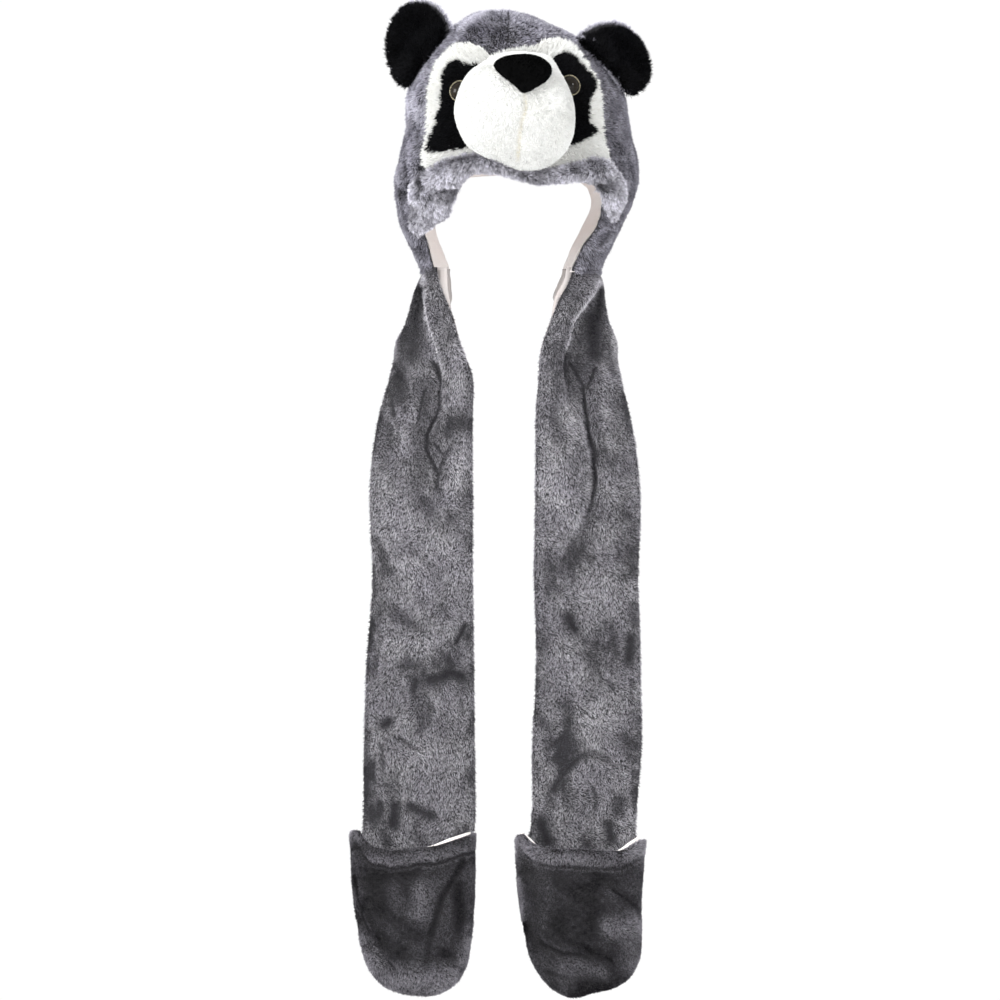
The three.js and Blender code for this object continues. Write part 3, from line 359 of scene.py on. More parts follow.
# Paler places on the pockets: pale standing pile at the foot and on the hem, and painted sheen on the ridges
# between the creases and along the sides
POCKET_PALE_AND_SHEEN = {
    "left": [
        (420, 888, 417, 912, 8, 0.7, 0), (362, 945, 372, 962, 8, 0.9, 0), (392, 981, 455, 979, 9, 0.9, 0),
        (462, 962, 470, 930, 5, 0.7, 0), (392, 890, 400, 905, 8, 0.4, 0),
    ],
    "right": [
        (520, 850, 642, 848, 9, 1, 0), (612, 926, 640, 928, 9, 0.85, 0), (562, 968, 600, 970, 7, 0.45, 0),
        (628, 935, 630, 960, 8, 0.5, 0), (520, 880, 524, 920, 3, 0.6, 0),
    ],
}
# The hood's strokes, darkened partly by pressing, partly by painted shade in its creases and beside the brow
# band's lobes
HOOD_STROKES = [
    (402, 150, 401, 185, 8, 0.5, 1), (401, 185, 408, 226, 9, 0.65, 1), (406, 160, 411, 190, 3, 0.7, 3),
    (410, 120, 404, 150, 4, 0.5, 2), (614, 118, 620, 152, 4, 0.7, 3), (620, 152, 626, 172, 4, 0.5, 2),
    (634, 160, 632, 196, 8, 0.5, 1), (632, 196, 616, 234, 9, 0.7, 1), (608, 230, 598, 246, 3, 0.8, 3),
    (495, 26, 515, 30, 9, 0.3, 1), (524, 22, 552, 30, 8, 0.35, 1), (480, 44, 520, 46, 8, 0.2, 1),
    (418, 235, 424, 270, 4, 0.4, 1), (596, 250, 585, 278, 5, 0.5, 1),
]

# How far each blade's root is sunk in the cloth
ROOT_DEPTH = 0.4
# Large numbers that give each cell of tufts a key of its own
CELL_KEYS = (73856093, 19349663, 83492791)
# size is the name of the setting that gives the length; width and tuft are in mm
Coat = namedtuple("Coat", "slot pile size count width stand lean scatter tuft gather swirl")
COATS = {
    "hood": Coat("grey_plush", "grey", "hood_pile", 150000, 1.15, 0.62, 0.6, 0.2, 2.4, 0.42, 0.8),
    "band": Coat("grey_plush", "band", "band_pile", 62000, 1.15, 0.65, 0.65, 0.22, 2.8, 0.6, 0.9),
    "face": Coat("white_plush", "white", "face_pile", 30000, 1.35, 0.75, 0.5, 0.22, 3.0, 0.45, 0.5),
    "patch": Coat("black_plush", "black", "face_pile", 9000, 1.3, 0.75, 0.5, 0.22, 3.0, 0.4, 0.5),
    "muzzle": Coat("white_plush", "muzzle", "muzzle_pile", 46000, 1.2, 0.5, 0.5, 0.09, 1.6, 0.12, 0.4),
    "nose": Coat("nose_felt", "nose", "nose_pile", 6000, 0.8, 0.8, 0.4, 0.2, 1.8, 0.3, 0.6),
    "ear front": Coat("black_plush", "black", "ear_pile", 17000, 1.4, 0.7, 0.5, 0.24, 3.2, 0.5, 0.5),
    "ear back": Coat("grey_plush", "grey", "ear_pile", 12000, 1.4, 0.7, 0.5, 0.24, 3.2, 0.5, 0.5),
    "flap": Coat("grey_plush", "flap", "flap_pile", 130000, 0.94, 0.62, 0.7, 0.2, 1.5, 0.36, 0.6),
    "pocket": Coat("pocket_plush", "pocket", "pocket_pile", 56000, 0.98, 0.6, 0.65, 0.2, 1.8, 0.3, 0.8),
}

# Colours of the cloth under the pile, about as dark as the pile's roots: partly its own colour, partly
# painted shade deep in the pile
BACKINGS = {
    "grey": (0.035, 0.034, 0.038), "white": (0.93, 0.925, 0.9), "black": (0.002, 0.002, 0.002),
    "muzzle": (0.85, 0.845, 0.825), "pocket": (0.02, 0.019, 0.021),
}
# Root and tip are the names of colours, each with its tint, then come two tints: the first darkens the pile
# where it is pressed and where shade is painted on it, the second is its cloud
Pile = namedtuple("Pile", "root root_tint tip tip_tint pressed cloud contrast power sheen gloss")
PILES = {
    "grey": Pile("grey_root", 1, "grey_tip", (1, 1, 1.04), (0.2, 0.196, 0.208), (0.8, 0.79, 0.82),
                 0.4, 1.15, 0.1, 0.12),
    "band": Pile("grey_root", 1, "grey_tip", 1.12, (0.2, 0.197, 0.21), (0.85, 0.845, 0.86),
                 0.6, 1.15, 0.15, 0.2),
    "flap": Pile("grey_root", 1, "grey_tip", (1.176, 1.17, 1.2), (0.05, 0.048, 0.056), (0.76, 0.75, 0.78),
                 0.45, 1.15, 0.04, 0.06),
    "pocket": Pile("grey_root", 0.5, "pocket_tip", 1, (0.03, 0.028, 0.034), (0.85, 0.84, 0.86),
                   0.4, 1.15, 0.05, 0.06),
    "white": Pile("white_root", 1, "white_tip", 1, (0.93, 0.91, 0.85), (1, 0.995, 0.985),
                  0.05, 0.8, 0.1, 0.2),
    "muzzle": Pile("white_tip", 0.8633, "white_tip", 0.89, (0.88, 0.83, 0.7), (0.985, 0.985, 0.975),
                   0.02, 0.8, 0.05, 0.2),
    "black": Pile("black_root", 1, "black_tip", 1, (0.5, 0.5, 0.5), (0.9, 0.92, 1), 0.5, 1.15, 0, 0.12),
    "nose": Pile("black_root", 1, "nose", 1.7, (0.6, 0.6, 0.6), (1, 1, 1), 0.3, 1.15, 0, 0.02),
}


# Shapes


def through(places, values, at):
    """Smooth curve through values at rising places, read at each of at."""
    values = np.asarray(values, float)
    at = np.clip(np.asarray(at, float), places[0], places[-1])
    b = np.clip(np.searchsorted(places, at, side="right") - 1, 0, len(places) - 2)
    a, c, d = np.maximum(b - 1, 0), b + 1, np.minimum(b + 2, len(places) - 1)
    span = places[c] - places[b]
    t = (at - places[b]) / span
    steps = places[c] - places[a], places[d] - places[b]
    if values.ndim > 1:
        span, t = span[..., None], t[..., None]
        steps = [step[..., None] for step in steps]
    slope_b = (values[c] - values[a]) / steps[0]
    slope_c = (values[d] - values[b]) / steps[1]
    t2, t3 = t * t, t**3
    middle = values[b] * (2 * t3 - 3 * t2 + 1) + values[c] * (3 * t2 - 2 * t3)
    return middle + slope_b * span * (t3 - 2 * t2 + t) + slope_c * span * (t3 - t2)


def signed_power(value, exponent):
    return np.sign(value) * np.abs(value) ** exponent


def unit(vectors):
    return vectors / np.maximum(np.linalg.norm(vectors, axis=-1, keepdims=True), 1e-9)


def ramp(value, start, reach):
    """0 up to start, then rising to 1 over a reach."""
    return np.clip((value - start) / reach, 0, 1)


def bell(value, width):
    return np.exp(-((value / width) ** 2))


def circle(count):
    """Angles round a full turn."""
    return np.linspace(0, 2 * math.pi, count, endpoint=False)


def waves(points, size, seed):
    """Smooth field of about -1 to 1, with bumps of roughly the size given."""
    rng = np.random.default_rng(seed)
    ways = unit(rng.normal(size=(10, 3))) / (size * rng.uniform(0.7, 1.5, (10, 1))) * 2 * math.pi
    return np.sin(points @ ways.T + rng.uniform(0, 2 * math.pi, 10)).sum(axis=1) / math.sqrt(10)


def blotches(points, size, seed, most, start=0.15, rise=0.9):
    """Uneven patches from 0 to most, soft at their edges, such as a hand leaves in plush."""
    field = waves(points, size, seed) + 0.7 * waves(points, size / 2.4, seed + 1)
    return most * ramp(field + 0.35 * waves(points, 7, seed + 2), start, rise)


def hood_extent(down):
    """Left, right, front and rear of the hood's oval at each height."""
    return through(HOOD_ROWS[:, 0], HOOD_ROWS[:, 1:], down)


def hood_front(x, down):
    """Depth of the hood's front surface at places seen from the front."""
    left, right, front, _ = np.moveaxis(hood_extent(down), -1, 0)
    share = np.minimum(np.abs(x - (left + right) / 2) / ((right - left) / 2), 0.995)
    return front * (1 - share**HOOD_ROUNDNESS) ** (1 / HOOD_ROUNDNESS)


def front_normal(depth, x, down):
    """Outward normal of a front surface whose depth is a function of x and down."""
    step = 2.0
    slope_x = (depth(x + step, down) - depth(x - step, down)) / (2 * step)
    slope_down = (depth(x, down + step) - depth(x, down - step)) / (2 * step)
    return unit(np.stack([slope_x, -np.ones_like(slope_x), -slope_down], axis=-1))


def strokes_at(strokes, x, down):
    """How dark and how deep the strokes make each place."""
    seen_x, seen_y = x + VIEW_X, down + VIEW_DOWN
    dark, deep = np.zeros_like(seen_x), np.zeros_like(seen_x)
    for x0, y0, x1, y1, half, shade, dent in strokes:
        run = np.array([x1 - x0, y1 - y0], float)
        along = ((seen_x - x0) * run[0] + (seen_y - y0) * run[1]) / max(run @ run, 1e-6)
        near = np.clip(along, 0, 1)
        away = np.hypot(seen_x - x0 - near * run[0], seen_y - y0 - near * run[1])
        spread = half * (1.4 if half > 4.5 else 1.15)
        dark = np.maximum(dark, min(1.2 * shade, 1) * bell(away, spread))
        deep = np.maximum(deep, dent * bell(away, half))
    return dark, deep


def grid_faces(rows, columns, wrap=False):
    """Quads of a grid whose rows run down and columns across, counter-clockwise from the outside."""
    across = columns if wrap else columns - 1
    row, column = np.meshgrid(np.arange(rows - 1), np.arange(across), indexing="ij")
    a = row * columns + column
    b = row * columns + (column + 1) % columns
    return np.stack([a, a + columns, b + columns, b], axis=-1).reshape(-1, 4)


def thick_sheet(name, outer, inner, material, plush=False):
    """A closed sheet between two grids of points, which grows its pile on the outer one where it is plush."""
    rows, columns = outer.shape[:2]
    points = np.concatenate([outer.reshape(-1, 3), inner.reshape(-1, 3)])
    front = grid_faces(rows, columns)
    back = front[:, ::-1] + rows * columns
    index = np.arange(rows * columns).reshape(rows, columns)
    border = np.concatenate([index[:, 0], index[-1, 1:], index[-2::-1, -1], index[0, -2:0:-1]])
    after = np.roll(border, -1)
    rim = np.stack([border, border + rows * columns, after + rows * columns, after], axis=-1)
    mesh = mesh_from(name, points, np.concatenate([front, back, rim]))
    if plush:
        shares = np.repeat([1.0, 0.0, 0.6], [len(front), len(back), len(rim)]).astype(np.float32)
        mesh.attributes.new("Grown", "FLOAT", "FACE").data.foreach_set("value", shares)
    return new_object(name, outwards(mesh), material)


def new_object(name, mesh, material):
    mesh.materials.clear()
    if material:
        mesh.materials.append(material)
    piece = bpy.data.objects.new(name, mesh)
    bpy.context.scene.collection.objects.link(piece)
    return piece


def mesh_from(name, points, faces):
    """Mesh from points in mm and an array of equal faces."""
    faces = np.asarray(faces, dtype=np.int32)
    mesh = bpy.data.meshes.new(name)
    mesh.vertices.add(len(points))
    mesh.vertices.foreach_set("co", (np.asarray(points) * MM).astype(np.float32).ravel())
    mesh.loops.add(faces.size)
    mesh.loops.foreach_set("vertex_index", faces.ravel())
    mesh.polygons.add(len(faces))
    mesh.polygons.foreach_set("loop_start", np.arange(0, faces.size, faces.shape[1], dtype=np.int32))
    mesh.update(calc_edges=True)
    return mesh


def outwards(mesh):
    """Turns the faces of a closed mesh outwards, merges doubled corners and shades it smooth."""
    work = bmesh.new()
    work.from_mesh(mesh)
    bmesh.ops.remove_doubles(work, verts=work.verts, dist=2e-5)
    bmesh.ops.recalc_face_normals(work, faces=work.faces)
    work.to_mesh(mesh)
    work.free()
    mesh.shade_smooth()
    return mesh


def loft(name, rings, material):
    """Closed piece through rings of points, with its ends filled to the rings' middles."""
    rows, columns = rings.shape[:2]
    points = np.concatenate([rings.reshape(-1, 3), rings[:1].mean(axis=1), rings[-1:].mean(axis=1)])
    faces = grid_faces(rows, columns, wrap=True)
    ring = np.arange(columns)
    ahead = (ring + 1) % columns
    last = (rows - 1) * columns
    middle = np.full(columns, rows * columns)
    top = np.stack([middle, ring, ahead], axis=-1)
    foot = np.stack([middle + 1, ahead + last, ring + last], axis=-1)
    faces = np.concatenate([faces[:, [0, 1, 2]], faces[:, [0, 2, 3]], top, foot])
    return new_object(name, outwards(mesh_from(name, points, faces)), material)


def remeshed(name, node, voxel, smoothing, material, kept=1.0):
    """A rounded copy of a CAD node's mesh, made of even small faces."""
    source = bpy.data.objects[node]
    copy = bpy.data.objects.new(name, source.data.copy())
    bpy.context.scene.collection.objects.link(copy)
    copy.matrix_world = source.matrix_world
    remesh = copy.modifiers.new("Even", "REMESH")
    remesh.mode = "VOXEL"
    remesh.voxel_size = voxel * MM
    smooth = copy.modifiers.new("Soft", "SMOOTH")
    smooth.factor = 0.5
    smooth.iterations = smoothing
    fewer = copy.modifiers.new("Fewer", "DECIMATE")
    fewer.ratio = kept
    graph = bpy.context.evaluated_depsgraph_get()
    mesh = bpy.data.meshes.new_from_object(copy.evaluated_get(graph))
    bpy.data.objects.remove(copy)
    mesh.name = name
    mesh.shade_smooth()
    return new_object(name, mesh, material)


def values_of(items, name, width, kind=float):
    """A row of numbers for each item of one of Blender's lists."""
    values = np.empty(len(items) * width, dtype=kind)
    items.foreach_get(name, values)
    return values.reshape(-1, width)


def read_mesh(piece):
    """Points in mm, normals and triangles of a piece, and the share of pile that each triangle grows."""
    mesh = piece.data
    mesh.calc_loop_triangles()
    triangles = values_of(mesh.loop_triangles, "vertices", 3, np.int32)
    share = np.ones(len(triangles))
    grown = mesh.attributes.get("Grown")
    if grown:
        faces = values_of(mesh.loop_triangles, "polygon_index", 1, np.int32)[:, 0]
        share = values_of(grown.data, "value", 1, np.float32)[faces, 0]
    points = values_of(mesh.vertices, "co", 3) / MM
    return points, values_of(mesh.vertex_normals, "vector", 3), triangles, share


def move_points(piece, change):
    """Moves a piece's points along their normals by a distance in mm that change works out."""
    points, normals, _, _ = read_mesh(piece)
    moved = points + normals * change(points, normals)[:, None]
    piece.data.vertices.foreach_set("co", (moved * MM).astype(np.float32).ravel())
    piece.data.update()


def panel(name, outline, depth, spacing, material):
    """A layer over a front surface, inside an outline of x and down."""
    outline = drawn_in(np.array(smooth_outline(outline, 3)), PANEL_INSET)
    low, high = outline.min(axis=0), outline.max(axis=0)
    xs, downs = np.arange(low[0], high[0], spacing), np.arange(low[1], high[1], spacing)
    inside = np.array([(x + (i % 2) * spacing / 2, d) for i, d in enumerate(downs) for x in xs])
    inside = inside[within(outline, inside) & (edge_distance(outline, inside) > spacing / 2)]
    count = len(outline)
    corners = [Vector(p) for p in np.concatenate([outline, inside])]
    edges = [(i, (i + 1) % count) for i in range(count)]
    made = delaunay_2d_cdt(corners, edges, [list(range(count))], 1, 1e-4)
    flat = np.array([tuple(p) for p in made[0]])
    faces = np.array(made[2])
    points = np.stack([flat[:, 0], depth(flat[:, 0], flat[:, 1]), -flat[:, 1]], axis=-1)
    mesh = mesh_from(name, points, faces)
    facing = np.cross(points[faces[:, 1]] - points[faces[:, 0]], points[faces[:, 2]] - points[faces[:, 0]])
    if facing[:, 1].sum() > 0:
        mesh.flip_normals()
    mesh.shade_smooth()
    piece = new_object(name, mesh, material)
    wall = piece.modifiers.new("Cloth", "SOLIDIFY")
    wall.thickness = PANEL_THICKNESS * MM
    wall.offset = -1
    return piece


def smooth_outline(outline, steps):
    """A closed outline with rounded corners."""
    places = np.arange(-2, len(outline) + 3, dtype=float)
    values = np.array([outline[int(i) % len(outline)] for i in places])
    return through(places, values, np.arange(0, len(outline), 1 / steps))


def inside_by(outline, points):
    """How far inside an outline each point lies as seen from the front, negative outside it."""
    places = points[:, [0, 2]] * [1, -1]
    return edge_distance(outline, places) * np.where(within(outline, places), 1, -1)


def ragged(points):
    """How far an edge between two colours of pile strays in mm, in small teeth."""
    return 1.0 + 1.1 * waves(points * [1, 0, 1], 7, 57) + 0.7 * waves(points * [1, 0, 1], 3.5, 58)


def drawn_in(outline, distance):
    """A closed outline moved inwards by a distance."""
    along = np.roll(outline, -1, axis=0) - np.roll(outline, 1, axis=0)
    inward = unit(np.stack([-along[:, 1], along[:, 0]], axis=-1))
    after = np.roll(outline, -1, axis=0)
    turn = np.sign((outline[:, 0] * after[:, 1] - outline[:, 1] * after[:, 0]).sum())
    return outline + inward * turn * distance


def within(outline, places):
    """Which places lie inside a closed outline."""
    x, y = places[:, 0], places[:, 1]
    hits = np.zeros(len(places), int)
    for (x0, y0), (x1, y1) in zip(outline, np.roll(outline, -1, axis=0)):
        if y0 == y1:
            continue
        crosses = ((y0 > y) != (y1 > y)) & (x < (x1 - x0) * (y - y0) / (y1 - y0) + x0)
        hits += crosses
    return hits % 2 == 1


def edge_distance(outline, places):
    """Distance of each place from a closed outline."""
    nearest = np.full(len(places), np.inf)
    for start, end in zip(outline, np.roll(outline, -1, axis=0)):
        run = end - start
        along = np.clip((places - start) @ run / max(run @ run, 1e-9), 0, 1)
        nearest = np.minimum(nearest, np.linalg.norm(places - start - along[:, None] * run, axis=1))
    return nearest


# Pile


def tuft_of(root, size, rng):
    """Number of the tuft that each root belongs to, in cells that show no straight rows."""
    turn, _ = np.linalg.qr(rng.normal(size=(3, 3)))
    shifted = root @ turn + np.stack([waves(root, size * 5, 11 + i) for i in range(3)], axis=-1) * size * 0.7
    cell = np.floor(shifted / size).astype(np.int64)
    return np.unique(np.bitwise_xor.reduce(cell * CELL_KEYS, axis=1), return_inverse=True)[1]


def grow_pile(name, cloth, kind, seed, keep, comb=None, shade=None, flat_chart=False):
    """Pile of fine blades on a piece of cloth, gathered in tufts.

    keep gives the share of the pile at each place, comb the way it lies and shade how pressed it is and how
    much painted shade darkens it.
    """
    coat = COATS[kind]
    full = getattr(sizes(), coat.size) / MM
    rng = np.random.default_rng(seed)
    points, normals, triangles, share = read_mesh(cloth)
    corners = points[triangles]
    cross = np.cross(corners[:, 1] - corners[:, 0], corners[:, 2] - corners[:, 0])
    area = np.linalg.norm(cross, axis=1) * share
    tries = coat.count * 3
    picked = rng.choice(len(triangles), tries, p=area / area.sum())
    weights = rng.random((tries, 2))
    weights = np.where(weights.sum(axis=1, keepdims=True) > 1, 1 - weights, weights)
    weights = np.column_stack([1 - weights.sum(axis=1), weights])[..., None]
    root = (points[triangles[picked]] * weights).sum(axis=1)
    normal = unit((normals[triangles[picked]] * weights).sum(axis=1))
    chance = keep(root, normal)
    order = rng.exponential(size=tries) / np.maximum(chance, 1e-9)
    best = np.argsort(order)[: coat.count]
    best = best[chance[best] > 0]
    root, normal = root[best], normal[best]
    count = len(root)
    # How pressed the pile is, with painted shade added in: it darkens the colour and also shortens and turns
    # the blades
    pressed = shade(root, normal) if shade else np.zeros(count)

    lay = comb(root, normal) if comb else np.tile([0.0, 0.0, -1.0], (count, 1))
    lay = unit(lay - normal * (lay * normal).sum(axis=1, keepdims=True))
    angle = coat.swirl * waves(root, 34, seed + 1) + 0.5 * coat.swirl * waves(root, 13, seed + 2)
    angle = angle + 0.9 * pressed
    lay = lay * np.cos(angle)[:, None] + np.cross(normal, lay) * np.sin(angle)[:, None]
    stand = coat.stand * (1 - 0.35 * pressed)
    way = unit(normal * stand[:, None] + lay * coat.lean + rng.normal(size=root.shape) * coat.scatter)
    length = full * rng.uniform(0.72, 1.12, count) * (1 - 0.3 * pressed)
    tuft = tuft_of(root, coat.tuft, rng)
    tufts = tuft.max() + 1
    length *= rng.uniform(0.8, 1.15, tufts)[tuft]
    tip = root + way * length[:, None]
    members = np.bincount(tuft, minlength=tufts)
    middle = np.stack([np.bincount(tuft, tip[:, i], tufts) / members for i in range(3)], axis=-1)
    pull = middle[tuft] - tip
    pull *= (np.linalg.norm(pull, axis=1) < 2 * coat.tuft + full)[:, None]
    tip += pull * (coat.gather * rng.uniform(0.5, 1, count))[:, None]
    side = unit(np.cross(way, rng.normal(size=root.shape)))
    side *= coat.width / 2 * rng.uniform(0.7, 1.2, (count, 1))
    root = root - normal * ROOT_DEPTH
    blades = np.stack([root - side, root + side, tip], axis=1).reshape(-1, 3)
    mesh = mesh_from(name, blades, np.arange(3 * count).reshape(-1, 3))

    tone = 0.5 + 0.24 * (rng.random(tufts)[tuft] * 2 - 1) + 0.14 * rng.normal(size=count)
    # Red is 0 at the root and 1 at the tip, green the tone of the tuft, blue how pressed it is and how much
    # painted shade darkens it
    marks = np.ones((count, 3, 4), np.float32)
    marks[:, :2, 0] = 0
    marks[:, :, 1] = np.clip(tone, 0, 1)[:, None]
    marks[:, :, 2] = pressed[:, None]
    mesh.attributes.new("Pile", "FLOAT_COLOR", "POINT").data.foreach_set("color", marks.ravel())
    lay_out_blades(mesh, root, flat_chart)
    return dressed(new_object(name, mesh, pile_of(coat.pile)), coat.slot)


def lay_out_blades(mesh, root, flat_chart):
    """A small patch of the texture for each blade, beside the patches of its neighbours."""
    low, high = root.min(axis=0), root.max(axis=0)
    if flat_chart:
        u = (root[:, 0] - low[0]) / (high[0] - low[0])
    else:
        middle = (low + high) / 2
        u = np.arctan2(root[:, 0] - middle[0], root[:, 1] - middle[1]) / (2 * math.pi) + 0.5
    v = (root[:, 2] - low[2]) / (high[2] - low[2])
    place = 0.01 + 0.98 * np.stack([u, v], axis=-1)
    patch = np.array([(-1, -1), (1, -1), (0, 1)]) * 0.0012
    chart = (place[:, None, :] + patch[None]).astype(np.float32)
    mesh.uv_layers.new(name="OFBake").data.foreach_set("uv", chart.ravel())


# Materials


def fill(tree, node, inputs):
    """Links each input to its source, or sets it to a plain value."""
    for socket, value in inputs.items():
        if isinstance(value, bpy.types.NodeSocket):
            tree.links.new(value, node.inputs[socket])
        else:
            node.inputs[socket].default_value = value


def add(tree, kind, inputs=None, **values):
    """A node's outputs, once its values are set and its inputs filled."""
    node = tree.nodes.new(kind)
    for key, value in values.items():
        setattr(node, key, value)
    fill(tree, node, inputs or {})
    return node.outputs


def bare_material(name):
    material = bpy.data.materials.new(name)
    material.use_nodes = True
    tree = material.node_tree
    tree.nodes.clear()
    output = tree.nodes.new("ShaderNodeOutputMaterial")
    shader = tree.nodes.new("ShaderNodeBsdfPrincipled")
    fill(tree, output, {"Surface": shader.outputs["BSDF"]})
    return material, tree, shader


def noise(tree, scale, detail=2.0):
    """Noise in the object's own coordinates, with a scale in bumps per metre."""
    place = add(tree, "ShaderNodeTexCoord")["Object"]
    return add(tree, "ShaderNodeTexNoise", {"Vector": place, "Scale": scale, "Detail": detail})["Fac"]


def mapped(tree, source, low, high, start=0.0, end=1.0):
    ends = {"From Min": start, "From Max": end, "To Min": low, "To Max": high}
    return add(tree, "ShaderNodeMapRange", {"Value": source, **ends})["Result"]


def blend(tree, factor, first, second, way="MIX"):
    """Mixes two colours, each a source or a plain colour."""
    first, second = (c if isinstance(c, bpy.types.NodeSocket) else (*c, 1) for c in (first, second))
    return add(tree, "ShaderNodeMix", {0: factor, 6: first, 7: second}, data_type="RGBA", blend_type=way)[2]


def pile_material(name, root, tip, pressed, cloud, contrast, power, sheen, gloss):
    """Plush pile, dark at its root, pale at its tip, uneven from tuft to tuft and darker where it is pressed
    and where shade is painted on it.
    """
    material, tree, shader = bare_material(name)
    data = add(tree, "ShaderNodeAttribute", attribute_name="Pile")["Color"]
    parts = add(tree, "ShaderNodeSeparateColor", {"Color": data})
    rise = add(tree, "ShaderNodeMath", {0: parts["Red"], 1: power}, operation="POWER")["Value"]
    # Dark at the root and pale at the tip: partly the plush's own frosted colour, partly painted shade deep
    # in the pile
    colour = blend(tree, rise, root, tip)
    clouds = mapped(tree, noise(tree, 38, 4), 0, 1, 0.36, 0.64)
    colour = blend(tree, clouds, colour, blend(tree, 1.0, colour, cloud, "MULTIPLY"))
    tone = mapped(tree, parts["Green"], 1 - contrast, 1 + contrast)
    grey = add(tree, "ShaderNodeCombineColor", {"Red": tone, "Green": tone, "Blue": tone})["Color"]
    colour = blend(tree, 1.0, colour, grey, "MULTIPLY")
    # Darker where the pile is pressed and where shade is painted on it
    colour = blend(tree, parts["Blue"], colour, blend(tree, 1.0, colour, pressed, "MULTIPLY"))
    fill(tree, shader, {
        "Base Color": colour, "Roughness": mapped(tree, noise(tree, 400), 0.65, 0.9),
        "Specular IOR Level": gloss, "Sheen Weight": sheen, "Sheen Roughness": 0.5,
    })
    return material


def cloth_material(name, colour, other, threads, depth, roughness, sheen, gloss=0.25):
    """Woven cloth: crossed threads in relief, with soft uneven colour."""
    material, tree, shader = bare_material(name)
    place = add(tree, "ShaderNodeTexCoord")["Object"]
    inputs = {"Vector": place, "Scale": threads, "Distortion": 1.5, "Detail": 1}
    warp, weft = (add(tree, "ShaderNodeTexWave", inputs, bands_direction=way)["Fac"] for way in ("X", "Z"))
    weave = add(tree, "ShaderNodeMath", {0: warp, 1: weft}, operation="MAXIMUM")["Value"]
    mixed = blend(tree, mapped(tree, noise(tree, 30, 4), 0, 1, 0.3, 0.7), colour, other)
    bump = add(tree, "ShaderNodeBump", {"Height": weave, "Strength": 0.4, "Distance": depth * MM})
    fill(tree, shader, {
        # Painted shade in the gaps between the threads
        "Base Color": blend(tree, mapped(tree, weave, 0.3, 0), mixed, tinted(other, 0.85)),
        "Roughness": mapped(tree, weave, roughness, roughness - 0.15), "Normal": bump["Normal"],
        "Specular IOR Level": gloss, "Sheen Weight": sheen,
    })
    return material


def plastic_material(name, colour, other, roughness, scale, metallic=0.0, gloss=0.4):
    """Moulded plastic with a faint unevenness in colour and gloss."""
    material, tree, shader = bare_material(name)
    grain = noise(tree, scale, 3)
    fill(tree, shader, {
        "Base Color": blend(tree, mapped(tree, grain, 0, 1, 0.35, 0.65), colour, other),
        "Roughness": mapped(tree, grain, roughness, roughness + 0.06),
        "Metallic": metallic, "Specular IOR Level": gloss,
    })
    return material


def shared_material(name, make, *values, **named):
    """The material of that name, made the first time that it is asked for."""
    return bpy.data.materials.get(name) or make(name, *values, **named)


def tinted(colour, tint):
    """A colour times one share or three, up to white."""
    return [min(part * share, 1) for part, share in zip(colour, np.broadcast_to(tint, 3))]


def pile_of(kind):
    row = PILES[kind]
    root = tinted(getattr(colours(), row.root), row.root_tint)
    tip = tinted(getattr(colours(), row.tip), row.tip_tint)
    return shared_material(f"{kind} pile", pile_material, root, tip, *row[4:])


def backing(kind):
    """Knitted backing that shows faintly between the pile."""
    colour = BACKINGS[kind]
    return shared_material(f"{kind} backing", cloth_material, colour, tinted(colour, 0.8), 160, 0.5, 0.85, 0)


def lining_cloth(name="lining cloth", shade=1.0):
    light = tinted(colours().lining, shade)
    return shared_material(name, cloth_material, light, tinted(light, (1, 0.95, 0.93)), 220, 0.4, 0.8, 0.3)


def flap_lining_cloth():
    """The lining of the flaps, with painted shade: darker all over than the hood's lining, and darker still
    at their tops, where they lie under the hood.
    """
    name = "flap lining cloth"
    known = bpy.data.materials.get(name)
    if known:
        return known
    # Painted shade: a darker copy of the hood's lining
    material = lining_cloth(name, 0.8)
    tree = material.node_tree
    shader = next(node for node in tree.nodes if node.type == "BSDF_PRINCIPLED")
    plain = shader.inputs["Base Color"].links[0].from_socket
    place = add(tree, "ShaderNodeTexCoord")["Object"]
    height = add(tree, "ShaderNodeSeparateXYZ", {"Vector": place})["Z"]
    # Painted shade at the top, under the hood
    dim = blend(tree, 1.0, plain, (0.62, 0.61, 0.61), "MULTIPLY")
    fill(tree, shader, {"Base Color": blend(tree, mapped(tree, height, 0, 1, -0.34, -0.3), plain, dim)})
    return material


# Sizes and colours


def length_property(name, description, default, low=0.001, high=0.02):
    return FloatProperty(name=name, description=description, default=default, min=low, max=high,
                         unit="LENGTH")


class BeanieSizes(bpy.types.PropertyGroup):
    """Lengths of the pile and the size of the stage."""

    hood_pile: length_property("Hood pile", "Length of the hood's pile", 0.0058)
    band_pile: length_property("Band pile", "Length of the brow band's ruffled pile", 0.0078)
    flap_pile: length_property("Flap pile", "Length of the scarf flaps' pile", 0.004)
    pocket_pile: length_property("Pocket pile", "Length of the mitten pockets' pile", 0.0036)
    face_pile: length_property("Face pile", "Length of the face panel's pile", 0.006)
    muzzle_pile: length_property("Muzzle pile", "Length of the muzzle's cropped pile", 0.0024)
    nose_pile: length_property("Nose pile", "Length of the nose's short pile", 0.0016)
    ear_pile: length_property("Ear pile", "Length of the ears' pile", 0.0075)
    camera_distance: length_property("Camera distance", "From the camera to the flaps", 9.0, 1.0, 40.0)
    eye_sides: IntProperty(name="Eye sides", description="Faces round each plastic eye", default=48, min=12,
                           max=128)


def colour_property(name, description, default):
    return FloatVectorProperty(name=name, description=description, default=default, min=0, max=1,
                               subtype="COLOR")


